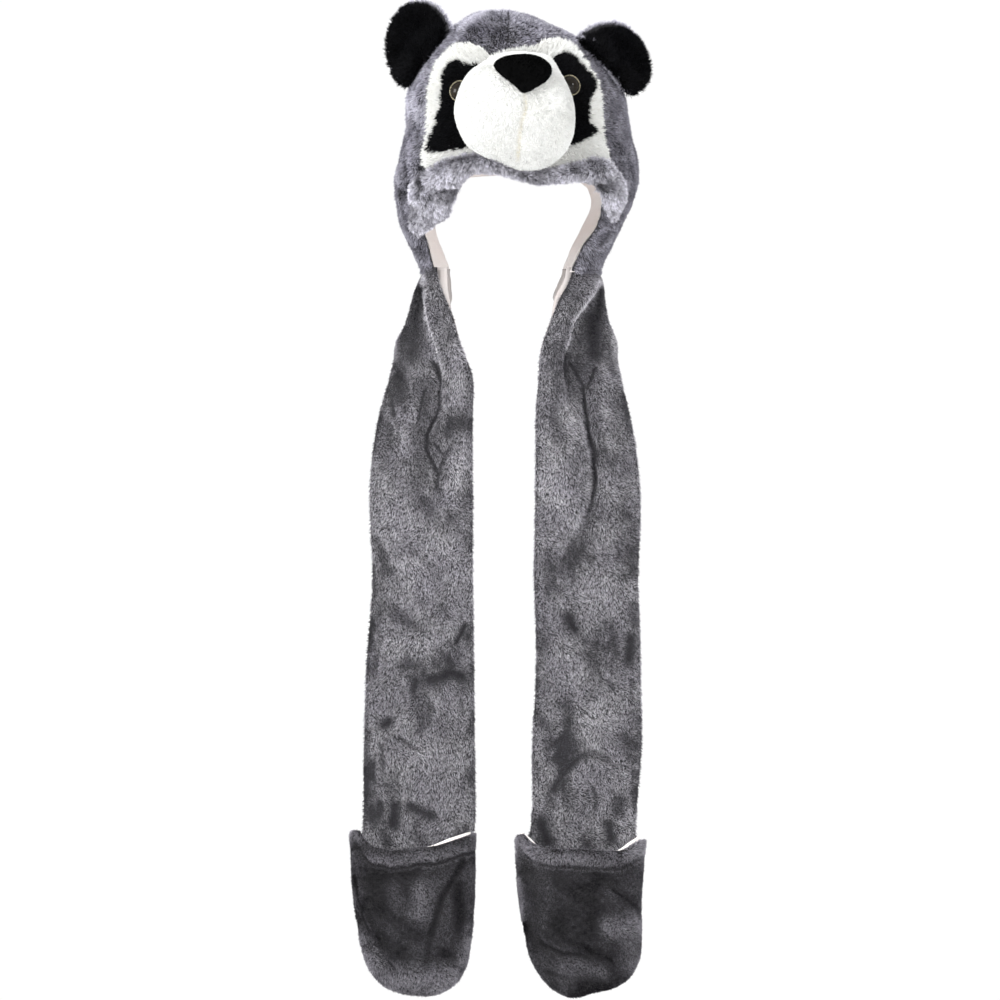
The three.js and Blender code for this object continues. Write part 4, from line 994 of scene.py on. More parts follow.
class BeanieColours(bpy.types.PropertyGroup):
    """Colours of the plush, the lining and the plastic."""

    grey_root: colour_property("Grey root", "Grey pile at its root", (0.026, 0.025, 0.029))
    grey_tip: colour_property("Grey tip", "Grey pile at its tip", (0.82, 0.81, 0.88))
    pocket_tip: colour_property("Pocket tip", "Pocket pile at its tip", (0.47, 0.457, 0.5))
    white_root: colour_property("White root", "White pile at its root", (0.86, 0.86, 0.84))
    white_tip: colour_property("White tip", "White pile at its tip", (0.93, 0.935, 0.925))
    black_root: colour_property("Black root", "Black pile at its root", (0.001, 0.001, 0.001))
    black_tip: colour_property("Black tip", "Black pile at its tip", (0.008, 0.008, 0.0095))
    nose: colour_property("Nose", "Felt of the nose", (0.0012, 0.0012, 0.0013))
    lining: colour_property("Lining", "Lining of the hood, flaps and pockets", (0.96, 0.93, 0.915))
    eye: colour_property("Eye", "Plastic of the eyes", (0.006, 0.0045, 0.003))
    rim: colour_property("Eye rim", "Plastic rim of the eyes", (0.4, 0.36, 0.25))


def sizes():
    return bpy.context.scene.beanie_sizes


def colours():
    return bpy.context.scene.beanie_colours


def dressed(piece, slot, *nodes):
    """Makes a piece ride on the part's one body and hides the nodes that it stands for; slot is not used."""
    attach(piece, "root")
    if nodes:
        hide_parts(*nodes)
    return piece


# Stage


def area_light(name, place, aim, size, energy):
    lamp = bpy.data.lights.new(name, "AREA")
    lamp.size = size
    lamp.energy = energy
    light = bpy.data.objects.new(name, lamp)
    light.location = place
    light.rotation_euler = (Vector(aim) - Vector(place)).to_track_quat("-Z", "Y").to_euler()
    bpy.context.scene.collection.objects.link(light)


def make_studio():
    """A white backdrop, and a softer light from it on the part, stronger from above."""
    world = bpy.data.worlds.new("Studio")
    world.use_nodes = True
    tree = world.node_tree
    backdrop = tree.nodes["Background"]
    place = add(tree, "ShaderNodeTexCoord")["Generated"]
    height = add(tree, "ShaderNodeSeparateXYZ", {"Vector": place})["Z"]
    soft = mapped(tree, height, STUDIO_BELOW, STUDIO_ABOVE, -1, 1)
    seen = add(tree, "ShaderNodeLightPath")["Is Camera Ray"]
    strength = add(tree, "ShaderNodeMix", {0: seen, 2: soft, 3: BACKDROP}, data_type="FLOAT")["Result"]
    fill(tree, backdrop, {"Strength": strength, "Color": (1, 1, 1, 1)})
    bpy.context.scene.world = world


def make_floor():
    """A pale floor well below the hanging part."""
    bpy.ops.mesh.primitive_circle_add(vertices=96, radius=FLOOR_RADIUS, fill_type="NGON",
                                      location=(0, 0, FLOOR_Z))
    floor = bpy.context.object
    floor.name = "floor"
    material, tree, shader = bare_material("floor")
    fill(tree, shader, {"Base Color": (0.88, 0.88, 0.88, 1), "Roughness": 0.9})
    floor.data.materials.append(material)


def make_stage():
    scene = bpy.context.scene
    scene.view_settings.view_transform = "Standard"
    scene.view_settings.look = "None"
    aim = Vector(((VIEW_SIDE / 2 - VIEW_X) * MM, -0.04, (VIEW_DOWN - VIEW_SIDE / 2) * MM))
    lens = bpy.data.cameras.new("Camera")
    lens.sensor_width = 36
    lens.lens = lens.sensor_width * sizes().camera_distance / (VIEW_SIDE * MM)
    lens.clip_end = 100
    camera = bpy.data.objects.new("Camera", lens)
    camera.location = aim - Vector((0, sizes().camera_distance, 0))
    camera.rotation_euler = (math.pi / 2, 0, 0)
    scene.collection.objects.link(camera)
    scene.camera = camera
    make_studio()
    for name, lamp in LAMPS.items():
        area_light(name, *lamp)
    make_floor()


# Hood


def hood_outside(points, normals):
    """1 on the hood's outside, falling to 0 over its hems and inside it."""
    left, right = hood_extent(-points[:, 2])[:, :2].T
    away = points * [1, 1, 0] - np.stack([(left + right) / 2, 0 * left, 0 * left], axis=-1)
    outward = (unit(away) * normals).sum(axis=1)
    return ramp(outward, -0.05, 0.35)


def hood_comb(points, normals):
    """The hood's pile lies down and back from the brow."""
    lay = np.tile([0.0, 0.25, -1.0], (len(points), 1))
    lay[:, 0] = 0.25 * np.sign(points[:, 0])
    return lay


def hood_shade(points, normals):
    """Pressed along its strokes, with painted shade in its creases and on its right side, which faces away
    from the key light, and darker low down.
    """
    dark, _ = strokes_at(HOOD_STROKES, points[:, 0], -points[:, 2])
    # Painted shade on the hood's right side, which faces away from the key light
    right = 0.7 * ramp(points[:, 0], 50, 45)
    low = 0.6 * ramp(-points[:, 2], 185, 45)
    base = np.maximum.reduce([dark * (points[:, 1] < STROKES_TO), right, low])
    base *= 1 - 0.4 * np.clip(waves(points, 24, 9), 0, 1)
    return np.clip(base + blotches(points, 60, 5, 0.6, 0.15, 1.9) * (1 - base), 0, 1)


def make_hood():
    cloth = remeshed("hood", "crown", 2.9, 7, backing("grey"), 0.6)
    cut(cloth, below_hems())

    def change(points, normals):
        _, deep = strokes_at(HOOD_STROKES, points[:, 0], -points[:, 2])
        folds = waves(points, 46, 3) + waves(points, 20, 4) * 0.4
        # The hems face down and stay where they were cut
        outside = hood_outside(points, normals) * (normals[:, 2] > -0.6)
        return outside * np.maximum(-1.8 + folds - deep * (points[:, 1] < STROKES_TO), -2.7)

    move_points(cloth, change)
    dressed(cloth, "grey_plush", "crown")
    edge = smooth_outline(MASK, 3)

    def keep(centres, facing):
        behind = np.where(centres[:, 1] > 20, 0.75, 1.0)
        # Only the places round the face can lie under its panel
        front = np.flatnonzero((centres[:, 1] < -30) & (centres[:, 2] > -165))
        under = np.zeros(len(centres), bool)
        under[front] = inside_by(edge, centres[front]) > ragged(centres[front])
        hem = np.interp(centres[:, 1], *np.transpose(SIDE_HEMS["right"]))
        nape = (centres[:, 1] > 72) & (-centres[:, 2] > hem - NAPE_BARE)
        return hood_outside(centres, facing) * behind * ~(under | nape)

    grow_pile("hood_pile", cloth, "hood", 21, keep, hood_comb, hood_shade)


def hood_form(name, distance):
    """The hood's full closed form, swollen by a distance."""
    down = np.concatenate([np.linspace(-4.4, 40, 18)[:-1], np.linspace(40, 290, 44)])
    left, right, front, rear = through(HOOD_ROWS[:, 0], HOOD_ROWS[:, 1:], down).T[..., None]
    angle = circle(96) - math.pi / 2
    x = (left + right) / 2 + (right - left) / 2 * signed_power(np.cos(angle), 2 / HOOD_ROUNDNESS)
    y = np.where(np.sin(angle) < 0, -front, rear) * signed_power(np.sin(angle), 2 / HOOD_ROUNDNESS)
    rings = np.stack([x, y, np.repeat(-down[:, None], len(angle), axis=1)], axis=-1)
    round_ = np.roll(rings, -1, axis=1) - np.roll(rings, 1, axis=1)
    normal = unit(np.cross(np.gradient(rings, axis=0), round_))
    return loft(name, rings + normal * distance, None)


def prism(name, outline, near, far, place):
    """A closed prism whose section is an outline. place makes a point from one of its corners and a reach."""
    count = len(outline)
    points = [place(corner, reach) for reach in (near, far) for corner in outline]
    cap = tessellate_polygon([[Vector((*corner, 0)) for corner in outline]])
    faces = [tuple(face) for face in cap] + [tuple(i + count for i in reversed(face)) for face in cap]
    for i in range(count):
        after = (i + 1) % count
        faces += [(i, after, after + count), (i, after + count, i + count)]
    return new_object(name, outwards(mesh_from(name, points, faces)), None)


def cut(piece, tools):
    """Cuts the tools out of a piece and deletes them."""
    for tool in tools:
        change = piece.modifiers.new("Cut", "BOOLEAN")
        change.operation = "DIFFERENCE"
        change.solver = "EXACT"
        change.object = tool
    graph = bpy.context.evaluated_depsgraph_get()
    mesh = bpy.data.meshes.new_from_object(piece.evaluated_get(graph))
    piece.modifiers.clear()
    piece.data = mesh
    for tool in tools:
        bpy.data.objects.remove(tool)


def below_hems():
    """All that lies below the hood's hems, as a prism for each side."""
    tools = []
    for side in SIDES:
        hem = [(-REACH, HOOD_HEM), *SIDE_HEMS[side], (REACH, SIDE_HEMS[side][-1][1]), (REACH, 2 * HOOD_HEM),
               (-REACH, 2 * HOOD_HEM)]
        tools.append(prism(f"below_{side}", hem, -TURN[side], TURN[side] * REACH,
                           lambda c, reach: (reach, c[0], -c[1])))
    return tools


def make_lining():
    outside = PLUSH + GAP
    shell = hood_form("hood_lining", -outside)
    opening = prism("opening", smooth_outline(OPENING, 3), -REACH, 0, lambda c, reach: (c[0], reach, -c[1]))
    cut(shell, [hood_form("hollow", -outside - LINING), opening, *below_hems()])
    shell.data.shade_smooth()
    shell.data.set_sharp_from_angle(angle=math.radians(50))
    shell.data.materials.clear()
    shell.data.materials.append(lining_cloth())
    dressed(shell, "lining_cloth", "lining")


# Brow band


def band_rings():
    """Rings of the rolled band, uneven where its plush is gathered."""
    at = np.linspace(0, len(BAND_ROWS) - 1, 110)
    places = np.arange(len(BAND_ROWS), dtype=float)

    def line(where):
        x, down, half, out = through(places, BAND_ROWS, where).T
        return np.stack([x, hood_front(x, down), -down], axis=-1), half, out

    middle, half, out = line(at)
    ahead, _, _ = line(np.minimum(at + 0.05, places[-1]))
    behind, _, _ = line(np.maximum(at - 0.05, 0))
    along = unit(ahead - behind)
    normal = front_normal(hood_front, middle[:, 0], -middle[:, 2])
    upward = unit(np.cross(normal, along))
    ruffle = 1 + 0.07 * waves(middle, 17, 31) + 0.03 * waves(middle, 8, 32)
    angle = circle(24)
    inset = 3.0
    high = np.maximum(half - inset, 1.2) * ruffle
    proud = np.maximum(out - inset, 1.5) * ruffle
    return (middle[:, None] + upward[:, None] * (high[:, None] * np.cos(angle))[..., None]
            + normal[:, None] * (proud[:, None] * np.sin(angle))[..., None])


def band_shade(points, normals):
    return np.clip(0.2 + waves(points, 27, 33) * 0.5 + waves(points, 9, 34) * 0.2, 0, 0.85)


def make_band():
    cloth = loft("brow_roll", band_rings(), backing("grey"))
    dressed(cloth, "grey_plush", "brow_band")

    def keep(centres, facing):
        depth = hood_front(centres[:, 0], -centres[:, 2])
        return centres[:, 1] < depth + 4

    def comb(points, normals):
        lay = np.tile([0.0, -0.2, -1.0], (len(points), 1))
        lay[:, 0] = 0.5 * np.sin(points[:, 0] / 13)
        return lay

    grow_pile("brow_pile", cloth, "band", 41, keep, comb, band_shade)


# Face


def mask_depth(x, down):
    return hood_front(x, down) - 1.4


def patch_depth(x, down):
    return mask_depth(x, down) - 0.7


def make_face():
    cloth = panel("face_panel", MASK, mask_depth, 4.0, backing("white"))
    dressed(cloth, "white_plush", "face_mask")
    edge = smooth_outline(MASK, 3)
    patches = [smooth_outline(PATCHES[side], 3) for side in SIDES]

    def keep(roots, facing):
        stray = ragged(roots)
        covered = (inside_by(patches[0], roots) > stray) | (inside_by(patches[1], roots) > stray)
        return ~(covered | (inside_by(edge, roots) < stray))

    def comb(points, normals):
        centre = np.array([10.0, -110.0, -100.0])
        return (points - centre) * [1, 0, 1] + [0, 0, -12]

    def patch_keep(outline):
        return lambda roots, facing: inside_by(outline, roots) > ragged(roots)

    grow_pile("face_pile", cloth, "face", 51, keep, comb, flat_chart=True)
    for number, side in enumerate(SIDES):
        patch = panel(f"eye_panel_{side}", PATCHES[side], patch_depth, 3.5, backing("black"))
        dressed(patch, "black_plush", f"eye_patch_{side}")
        grow_pile(f"eye_pile_{side}", patch, "patch", 53 + number, patch_keep(patches[number]), comb,
                  flat_chart=True)


def muzzle_rings():
    share = 0.5 - 0.5 * np.cos(np.linspace(0.06, math.pi - 0.05, 54))
    down = MUZZLE_TOP + (MUZZLE_FOOT - MUZZLE_TOP) * share
    left, right, front, rear = through(MUZZLE_ROWS[:, 0], MUZZLE_ROWS[:, 1:], down).T
    angle = circle(84) - math.pi / 2
    inset = 1.6
    centre = (front + (rear - front) * 0.55)[:, None]
    wide = np.maximum(((right - left) / 2 - inset)[:, None], 2)
    x = ((left + right) / 2)[:, None] + wide * signed_power(np.cos(angle), 2 / MUZZLE_ROUNDNESS)
    depth = np.where(np.sin(angle) < 0, centre - front[:, None] - inset, rear[:, None] - centre)
    y = centre + depth * signed_power(np.sin(angle), 2 / MUZZLE_ROUNDNESS)
    z = np.repeat(-down[:, None], len(angle), axis=1)
    seam = through(SEAM_ROWS[:, 0], SEAM_ROWS[:, 1], down)[:, None]
    ends = ramp(down, SEAM_FROM, 8) * ramp(-down, -SEAM_TO, 6)
    groove = ends[:, None] * (2.0 * bell(x - seam, 2) + 1.6 * bell(x - seam, 9))
    y = y + groove * (np.sin(angle) < 0)
    seat = hood_front(x, down[:, None]) - 0.8
    y = np.where(y > seat, seat, y)
    return np.stack([x, y, z], axis=-1)


def make_muzzle():
    cloth = loft("muzzle_ball", muzzle_rings(), backing("muzzle"))
    move_points(cloth, lambda points, normals: waves(points, 30, 61) * 0.5)
    dressed(cloth, "white_plush", "muzzle")

    def keep(centres, facing):
        return centres[:, 1] < hood_front(centres[:, 0], -centres[:, 2]) - 1.6

    def comb(points, normals):
        return (points - [14.0, -160.0, -52.0]) * [1, 0.4, 1] + [0, 0, -6]

    def shade(points, normals):
        seam = through(SEAM_ROWS[:, 0], SEAM_ROWS[:, 1], -points[:, 2])
        along = ramp(-points[:, 2], SEAM_FROM, 10) * ramp(points[:, 2], -150, 8)
        return 0.95 * along * bell(points[:, 0] - seam, 1.7) * (points[:, 1] < -110)

    grow_pile("muzzle_pile", cloth, "muzzle", 63, keep, comb, shade)


def make_nose():
    felt = colours().nose
    base = shared_material("nose felt", cloth_material, felt, tinted(felt, 1.6), 300, 0.3, 0.95, 0.0, 0.05)
    pad = remeshed("nose_pad", "nose", 1.3, 6, base)
    dressed(pad, "nose_felt", "nose")

    def keep(centres, facing):
        return facing[:, 1] < 0.4

    grow_pile("nose_nap", pad, "nose", 71, keep)


def turned(name, profile, place, material):
    """A round piece from a profile of radius and height, standing on the face at a place."""
    angles = circle(sizes().eye_sides)
    rings = np.array([
        [(radius * math.cos(a), radius * math.sin(a), height) for a in angles] for radius, height in profile
    ])
    x, down = np.array([place[0]], float), np.array([place[1]], float)
    normal = front_normal(hood_front, x, down)[0]
    foot = np.array([x[0], hood_front(x, down)[0], -down[0]]) + normal * EYE_LIFT
    turn = np.array(Vector((0, 0, 1)).rotation_difference(Vector(normal)).to_matrix())
    return loft(name, rings @ turn.T + foot, material)


def make_eyes():
    steps = np.linspace(0, math.pi / 2, 10)[:-1]
    dome = [(0.5, 0), (EYE_RADIUS, 0)]
    dome += [(EYE_RADIUS * math.cos(a), 0.8 + (EYE_RISE - 0.8) * math.sin(a)) for a in steps]
    dome += [(0.8, EYE_RISE)]
    half = (RING_OUTER - RING_INNER) / 2
    high = RING_RISE / 2
    rim = [(RING_INNER + half + half * math.cos(a), high + high * math.sin(a)) for a in circle(14)]
    eye, gold = colours().eye, colours().rim
    glass = shared_material("eye plastic", plastic_material, eye, tinted(eye, 3), 0.04, 180, gloss=0.15)
    trim = shared_material("rim plastic", plastic_material, gold, tinted(gold, 0.8), 0.22, 500, 0.5)
    for side in SIDES:
        dressed(turned(f"eye_dome_{side}", dome, EYES[side], glass), "eye_plastic", f"eye_{side}")
        ring = turned(f"eye_rim_{side}", rim + rim[:1], EYES[side], trim)
        dressed(ring, "rim_plastic", f"eye_ring_{side}")


# Ears


def ear_pad(name, side, outline, front, back, material):
    """A padded oval that stands behind or lies over the hood, between two distances from the ear's plane."""
    x0, down0, y0, to_right, upwards = EAR_PLANES[side]
    rise = np.linspace(0.06, 1, 9)
    centre = outline.mean(axis=0)
    grid = centre + (outline - centre) * np.sin(rise * math.pi / 2)[:, None, None]
    x, down = grid[..., 0], grid[..., 1]
    plane = y0 + to_right * (x - x0) + upwards * (down0 - down)
    seam = EAR_SEAMS[side]
    run = seam[-1, :2] - seam[0, :2]
    size = np.linalg.norm(run)
    along = (grid - seam[0, :2]) @ run / size
    away = ((grid - seam[0, :2]) @ np.array([abs(run[1]) * TURN[side], -abs(run[0])])) / size
    sewn = np.interp(along, (seam[:, :2] - seam[0, :2]) @ run / size, seam[:, 2])
    free = ramp(away, 0, EAR_RISE)
    free = free * free * (3 - 2 * free)
    seat = sewn + (plane - sewn) * free
    proud = np.cos(rise * math.pi / 2)[:, None]
    far, near = (np.stack([x, y, -down], axis=-1) for y in (seat + back * proud, seat - front * proud))
    return loft(name, np.concatenate([far[:-1], near[::-1]]), material)


def ear_comb(roots, normals, base):
    return roots - base


def ear_front_keep(roots, normals):
    return np.where(normals[:, 1] < 0.35, 1.0, 0.15)


def ear_back_keep(roots, normals):
    return normals[:, 1] > -0.5


def make_ears():
    for number, side in enumerate(SIDES):
        x, down = EAR_PLANES[side][:2]
        comb = partial(ear_comb, base=np.array([x * 0.6, 0.0, -down - 50.0]))
        outline = drawn_in(smooth_outline(EAR_OUTLINES[side], 3), 3)
        front = ear_pad(f"ear_pad_{side}", side, outline, 6, -0.3, backing("black"))
        dressed(front, "black_plush", f"ear_front_{side}")
        grow_pile(f"ear_front_pile_{side}", front, "ear front", 81 + number, ear_front_keep, comb,
                  flat_chart=True)
        back = ear_pad(f"ear_cover_{side}", side, outline + EAR_BACKS[side], -0.3, 9, backing("grey"))
        dressed(back, "grey_plush", f"ear_back_{side}")
        grow_pile(f"ear_back_pile_{side}", back, "ear back", 85 + number, ear_back_keep, comb,
                  flat_chart=True)


# Flaps


def flap_surface(side, across, down, shown=0):
    """Grid of points on a flap's front: a row for each down, a column for each share across."""
    row = through(FLAP_ROWS[:, 0], FLAP_ROWS, down)
    outer = row[:, FLAP_IN[side] + 1]
    inner = row[:, FLAP_IN[side]] - shown
    fold = row[:, FLAP_FOLD[side]]
    behind = fold + row[:, FLAP_BEHIND]
    shares = np.column_stack([np.zeros(len(row)), fold, behind, row[:, FLAP_OUTER]])
    lines_x = inner[:, None] + (outer - inner)[:, None] * shares
    lines = np.stack([TURN[side] * lines_x, row[:, FLAP_DEPTHS]], axis=-1)
    at = np.linspace(0, 1, 5)
    grid = through(at, lines.transpose(1, 0, 2).reshape(5, -1), across).reshape(len(across), len(down), 2)
    grid = grid.transpose(1, 0, 2)
    z = np.repeat(-down[:, None], len(across), axis=1)
    points = np.stack([grid[..., 0], grid[..., 1], z], axis=-1)
    flat = points.reshape(-1, 3)
    _, deep = strokes_at(FLAP_STROKES[side], flat[:, 0], -flat[:, 2])
    # The bumps start below the folds and are faint under the pocket
    share = ramp(-flat[:, 2], 300, 80) * np.maximum(ramp(flat[:, 2], -POCKET_TOP, 30), 0.15)
    bumps = (waves(flat, 40, FLAP_SEEDS[side][0]) * 0.9 + waves(flat, 17, 93) * 0.4) * share
    flat[:, 1] += deep + bumps
    return flat.reshape(points.shape)


def grid_normals(points):
    down = np.gradient(points, axis=0)
    across = np.gradient(points, axis=1)
    return unit(np.cross(across, down))


def flap_layer(side, front, back, showing=False):
    """Grids of points at two distances behind a flap's front, drawn in at its edges."""
    edge = FLAP_INSET / FLAP_WIDTH
    across = np.linspace(edge, 1 - edge, FLAP_STEPS[0])
    top = np.linspace(FLAP_TOP, FLAP_FINE_TO, FLAP_STEPS[1])
    down = np.concatenate([top[:-1], np.linspace(FLAP_FINE_TO, FLAP_FOOT - FLAP_INSET, FLAP_STEPS[2])])
    shown = np.interp(down, *np.transpose(LINING_SHOWS[side])) if showing else 0
    surface = flap_surface(side, across, down, shown)
    normal = grid_normals(surface)
    normal = normal * np.where(normal[..., 1:2].mean() > 0, -1, 1)
    mean = unit(normal.mean(axis=1, keepdims=True))
    direction = unit(normal + mean)
    return surface - direction * front, surface - direction * back


def flap_comb(roots, normals, side):
    return np.tile([0.2 * TURN[side], 0.0, -1.0], (len(roots), 1))


def flap_shade(roots, normals, side):
    """Pressed along its strokes and in blotches, with painted shade in its creases, a painted shadow behind
    its folds and painted shade under the hood's hem, and paler where its pile stands and along its folds'
    painted highlights.
    """
    dark, _ = strokes_at(FLAP_STROKES[side], roots[:, 0], -roots[:, 2])
    light, _ = strokes_at(FLAP_PALE_AND_HIGHLIGHTS[side], roots[:, 0], -roots[:, 2])
    uneven = 0.27 + blotches(roots * [1, 1, 0.55], 58, FLAP_SEEDS[side][1], 0.65, -0.1, 1.8)
    # Painted shade under the hood's hem
    top = 0.5 * ramp(roots[:, 2], -290, 30)
    return np.maximum.reduce([dark, uneven, top]) * (1 - light)


def flap_keep(roots, normals):
    """The pile fades at the flap's top and ends where it is hidden deep in its pocket."""
    return ramp(roots[:, 2], -FLAP_PLUSH_TO, 10) * ramp(-roots[:, 2], FLAP_TOP + 1, 7)


def make_flaps():
    for number, side in enumerate(SIDES):
        cloth = thick_sheet(f"scarf_{side}", *flap_layer(side, 1.8, PLUSH), backing("grey"), plush=True)
        dressed(cloth, "grey_plush", f"flap_{side}")
        pile = grow_pile(f"scarf_pile_{side}", cloth, "flap", 101 + number, flap_keep,
                         partial(flap_comb, side=side), partial(flap_shade, side=side), flat_chart=True)

        layers = flap_layer(side, PLUSH + GAP, PLUSH + GAP + LINING, showing=True)
        lining = thick_sheet(f"scarf_lining_{side}", *layers, flap_lining_cloth())
        dressed(lining, "lining_cloth", f"flap_lining_{side}")


# Mitten pockets


def pocket_surface(side, mouth, inset, round_steps, down_steps):
    """Grid of points on a pocket's front, from its mouth to its foot, drawn in by a distance."""
    rows = POCKET_ROWS[side]
    angle = np.linspace(0, math.pi, round_steps)
    share = 1 - (1 - np.linspace(0, 1, down_steps)) ** 1.6
    foot = rows[-1, 0] - inset

    def place(down):
        drawn = np.minimum(down + inset * 0.6, rows[-1, 0])
        left, right, depth = np.moveaxis(through(rows[:, 0], rows[:, 1:], drawn), -1, 0)
        half = np.maximum((right - left) / 2 - inset, 2)
        x = (left + right) / 2 - half * signed_power(np.cos(angle), 2 / POCKET_ROUNDNESS)
        y = POCKET_BACK - np.maximum(depth - inset, 2) * signed_power(np.sin(angle), 2 / POCKET_ROUNDNESS)
        return x, y

    x, _ = place(np.full(round_steps, float(POCKET_MOUTH)))
    top = np.interp(x, mouth[:, 0], mouth[:, 1])
    down = top + (foot - top) * share[:, None]
    grid = np.empty((down_steps, round_steps, 3))
    for row in range(down_steps):
        x, y = place(down[row])
        grid[row] = np.stack([x, y, -down[row]], axis=-1)
    return grid, down - top


def pocket_relief(side, grid, below):
    """How far the pocket's surface is pushed out by its hem and folds, or in by its creases."""
    flat = grid.reshape(-1, 3)
    _, deep = strokes_at(POCKET_STROKES[side], flat[:, 0], -flat[:, 2])
    folds = waves(flat, 34, 111) * 1.3 + waves(flat, 15, 112) * 0.4
    relief = (folds - deep).reshape(below.shape) * ramp(below, 0, 25)
    hem = 1.5 * bell(below - 6, 7) - 2.4 * bell(below - POCKET_HEM, 3.5)
    return relief + hem


def pocket_layer(side, mouth, front, back, steps):
    """Grids of points at two distances from a pocket's outside."""
    outer, below = pocket_surface(side, mouth, front, *steps)
    relief = pocket_relief(side, outer, below)[..., None]
    normal = grid_normals(outer)
    normal = normal * np.sign((normal * (outer - outer.mean(axis=(0, 1)))).sum(axis=-1).mean())
    ends = np.sin(np.linspace(0, math.pi, outer.shape[1]))[None, :, None] ** 0.5
    inner, _ = pocket_surface(side, mouth, back, *steps)
    return outer + normal * relief * ends, inner + normal * np.minimum(relief, 0) * ends


def pocket_keep(roots, normals, middle):
    """Pile on the pocket's outside and over its hem."""
    away = (roots - [middle, POCKET_BACK, 0]) * [1, 2.2, 0]
    outward = (unit(away) * normals).sum(axis=1)
    return ramp(outward, -0.1, 0.3)


def pocket_comb(roots, normals):
    return np.tile([0.2, 0.0, -1.0], (len(roots), 1))


def pocket_shade(roots, normals, side):
    """Smooth and dark in the middle, with longer pale pile at the foot and on the hem, painted shade in its
    creases, a painted shadow under the hem and painted sheen on the ridges between the creases.
    """
    x, down = roots[:, 0], -roots[:, 2]
    below = down - np.interp(x, POCKET_MOUTHS[side][:, 0], POCKET_MOUTHS[side][:, 1])
    dark, _ = strokes_at(POCKET_STROKES[side], x, down)
    # Painted shadow under the hem
    line = 0.9 * bell(below - POCKET_HEM, 4)
    smooth = 0.82 * ramp(below, 14, 8) * np.maximum(ramp(-down, -965, 25), POCKET_FOOT[side])
    # Paler places: standing pile at the foot and hem, and painted sheen on the ridges between the creases
    light, _ = strokes_at(POCKET_PALE_AND_SHEEN[side], x, down)
    pressed = np.maximum.reduce([dark, line, smooth + blotches(roots, 75, 118, 0.36, -1, 2.4) - 0.12])
    return np.clip(pressed * (1 - 0.85 * light), 0, 1)


def make_pockets():
    for number, side in enumerate(SIDES):
        layers = pocket_layer(side, POCKET_MOUTHS[side], 1.6, PLUSH, (49, 54))
        cloth = thick_sheet(f"mitten_pocket_{side}", *layers, backing("pocket"), plush=True)
        dressed(cloth, "pocket_plush", f"mitten_{side}")
        middle = POCKET_ROWS[side][1, 1:3].mean()
        grow_pile(f"mitten_pile_{side}", cloth, "pocket", 121 + number, partial(pocket_keep, middle=middle),
                  pocket_comb, partial(pocket_shade, side=side), flat_chart=True)
        layers = pocket_layer(side, LINING_MOUTHS[side], PLUSH + GAP, PLUSH + GAP + LINING, (41, 40))
        lining = thick_sheet(f"mitten_inside_{side}", *layers, lining_cloth())
        dressed(lining, "lining_cloth", f"mitten_lining_{side}")


# Operators and panel


class Making:
    """Shared by the operators: each makes its own pieces."""

    makers = ()

    def execute(self, context):
        for make in self.makers:
            make()
        return {"FINISHED"}


class BeanieStage(Making, bpy.types.Operator):
    """Make the camera, the pale floor and the soft lights"""

    bl_idname = "beanie.stage"
    bl_label = "Stage"
    makers = (make_stage,)


class BeanieHood(Making, bpy.types.Operator):
    """Make the plush hood and its lining"""

    bl_idname = "beanie.hood"
    bl_label = "Hood"
    makers = (make_hood, make_lining)


class BeanieBand(Making, bpy.types.Operator):
    """Make the rolled band over the face opening"""

    bl_idname = "beanie.band"
    bl_label = "Brow band"
    makers = (make_band,)


class BeanieFace(Making, bpy.types.Operator):
    """Make the face panel with its black eye patches"""

    bl_idname = "beanie.face"
    bl_label = "Face panel"
    makers = (make_face,)


class BeanieMuzzle(Making, bpy.types.Operator):
    """Make the padded muzzle and the nose on it"""

    bl_idname = "beanie.muzzle"
    bl_label = "Muzzle and nose"
    makers = (make_muzzle, make_nose)


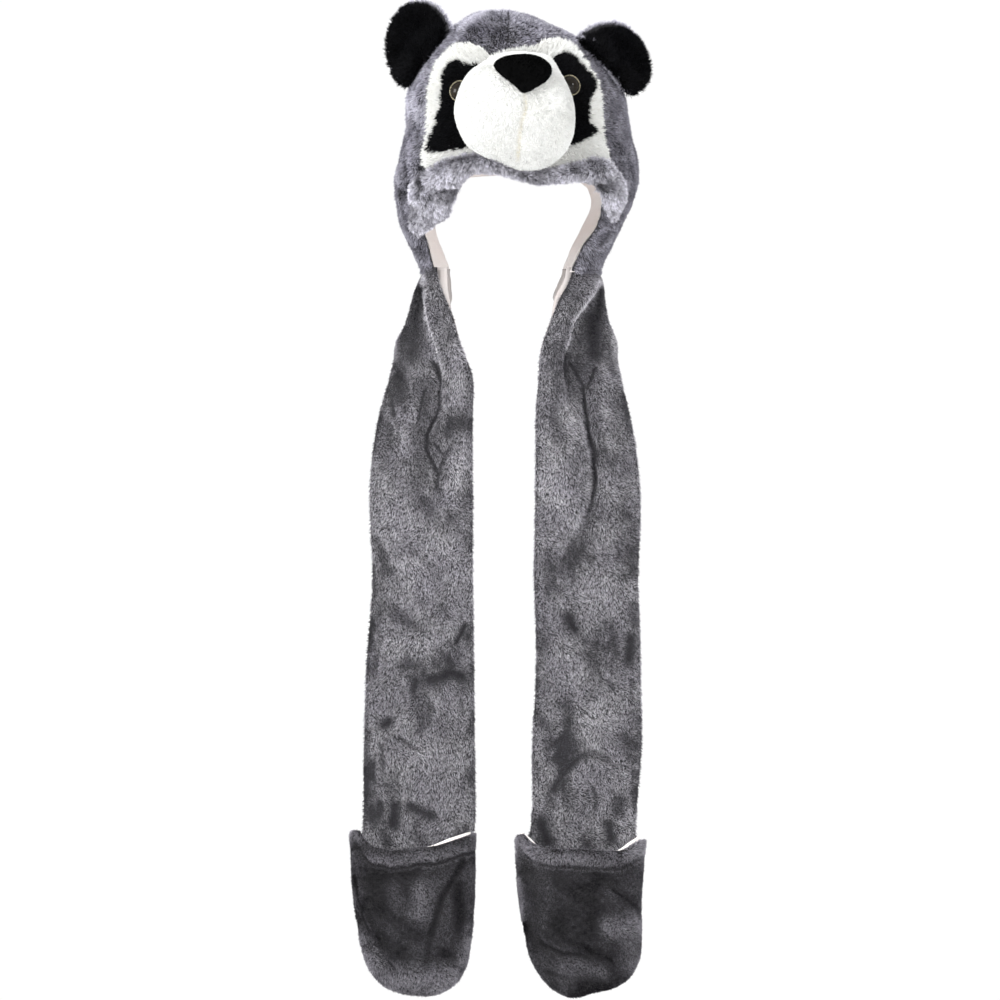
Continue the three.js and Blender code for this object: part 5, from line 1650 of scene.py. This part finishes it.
class BeanieEyes(Making, bpy.types.Operator):
    """Make the plastic eyes with their thin rims"""

    bl_idname = "beanie.eyes"
    bl_label = "Eyes"
    makers = (make_eyes,)


class BeanieEars(Making, bpy.types.Operator):
    """Make the round ears"""

    bl_idname = "beanie.ears"
    bl_label = "Ears"
    makers = (make_ears,)


class BeanieFlaps(Making, bpy.types.Operator):
    """Make the scarf flaps and the linings on their backs"""

    bl_idname = "beanie.flaps"
    bl_label = "Scarf flaps"
    makers = (make_flaps,)


class BeaniePockets(Making, bpy.types.Operator):
    """Make the mitten pockets and their linings"""

    bl_idname = "beanie.pockets"
    bl_label = "Mitten pockets"
    makers = (make_pockets,)


OPERATORS = (
    BeanieStage, BeanieHood, BeanieBand, BeanieFace, BeanieMuzzle, BeanieEyes, BeanieEars, BeanieFlaps,
    BeaniePockets,
)


class BeaniePanel(bpy.types.Panel):
    """Lists the beanie's parts and their settings"""

    bl_idname = "VIEW3D_PT_beanie"
    bl_label = "Animal beanie"
    bl_space_type = "VIEW_3D"
    bl_region_type = "UI"
    bl_category = "Beanie"

    def draw(self, context):
        for operator in OPERATORS:
            self.layout.operator(operator.bl_idname)
        for group in (context.scene.beanie_sizes, context.scene.beanie_colours):
            box = self.layout.box()
            for name in group.__annotations__:
                box.prop(group, name)


CLASSES = (BeanieSizes, BeanieColours, *OPERATORS, BeaniePanel)


def register():
    for made in CLASSES:
        bpy.utils.register_class(made)
    bpy.types.Scene.beanie_sizes = PointerProperty(type=BeanieSizes)
    bpy.types.Scene.beanie_colours = PointerProperty(type=BeanieColours)


def unregister():
    del bpy.types.Scene.beanie_sizes
    del bpy.types.Scene.beanie_colours
    for made in reversed(CLASSES):
        bpy.utils.unregister_class(made)


def main():
    register()
    bpy.ops.beanie.stage()
    bpy.ops.beanie.hood()
    bpy.ops.beanie.band()
    bpy.ops.beanie.face()
    bpy.ops.beanie.muzzle()
    bpy.ops.beanie.eyes()
    bpy.ops.beanie.ears()
    bpy.ops.beanie.flaps()
    bpy.ops.beanie.pockets()


if __name__ == "__main__":
    main()
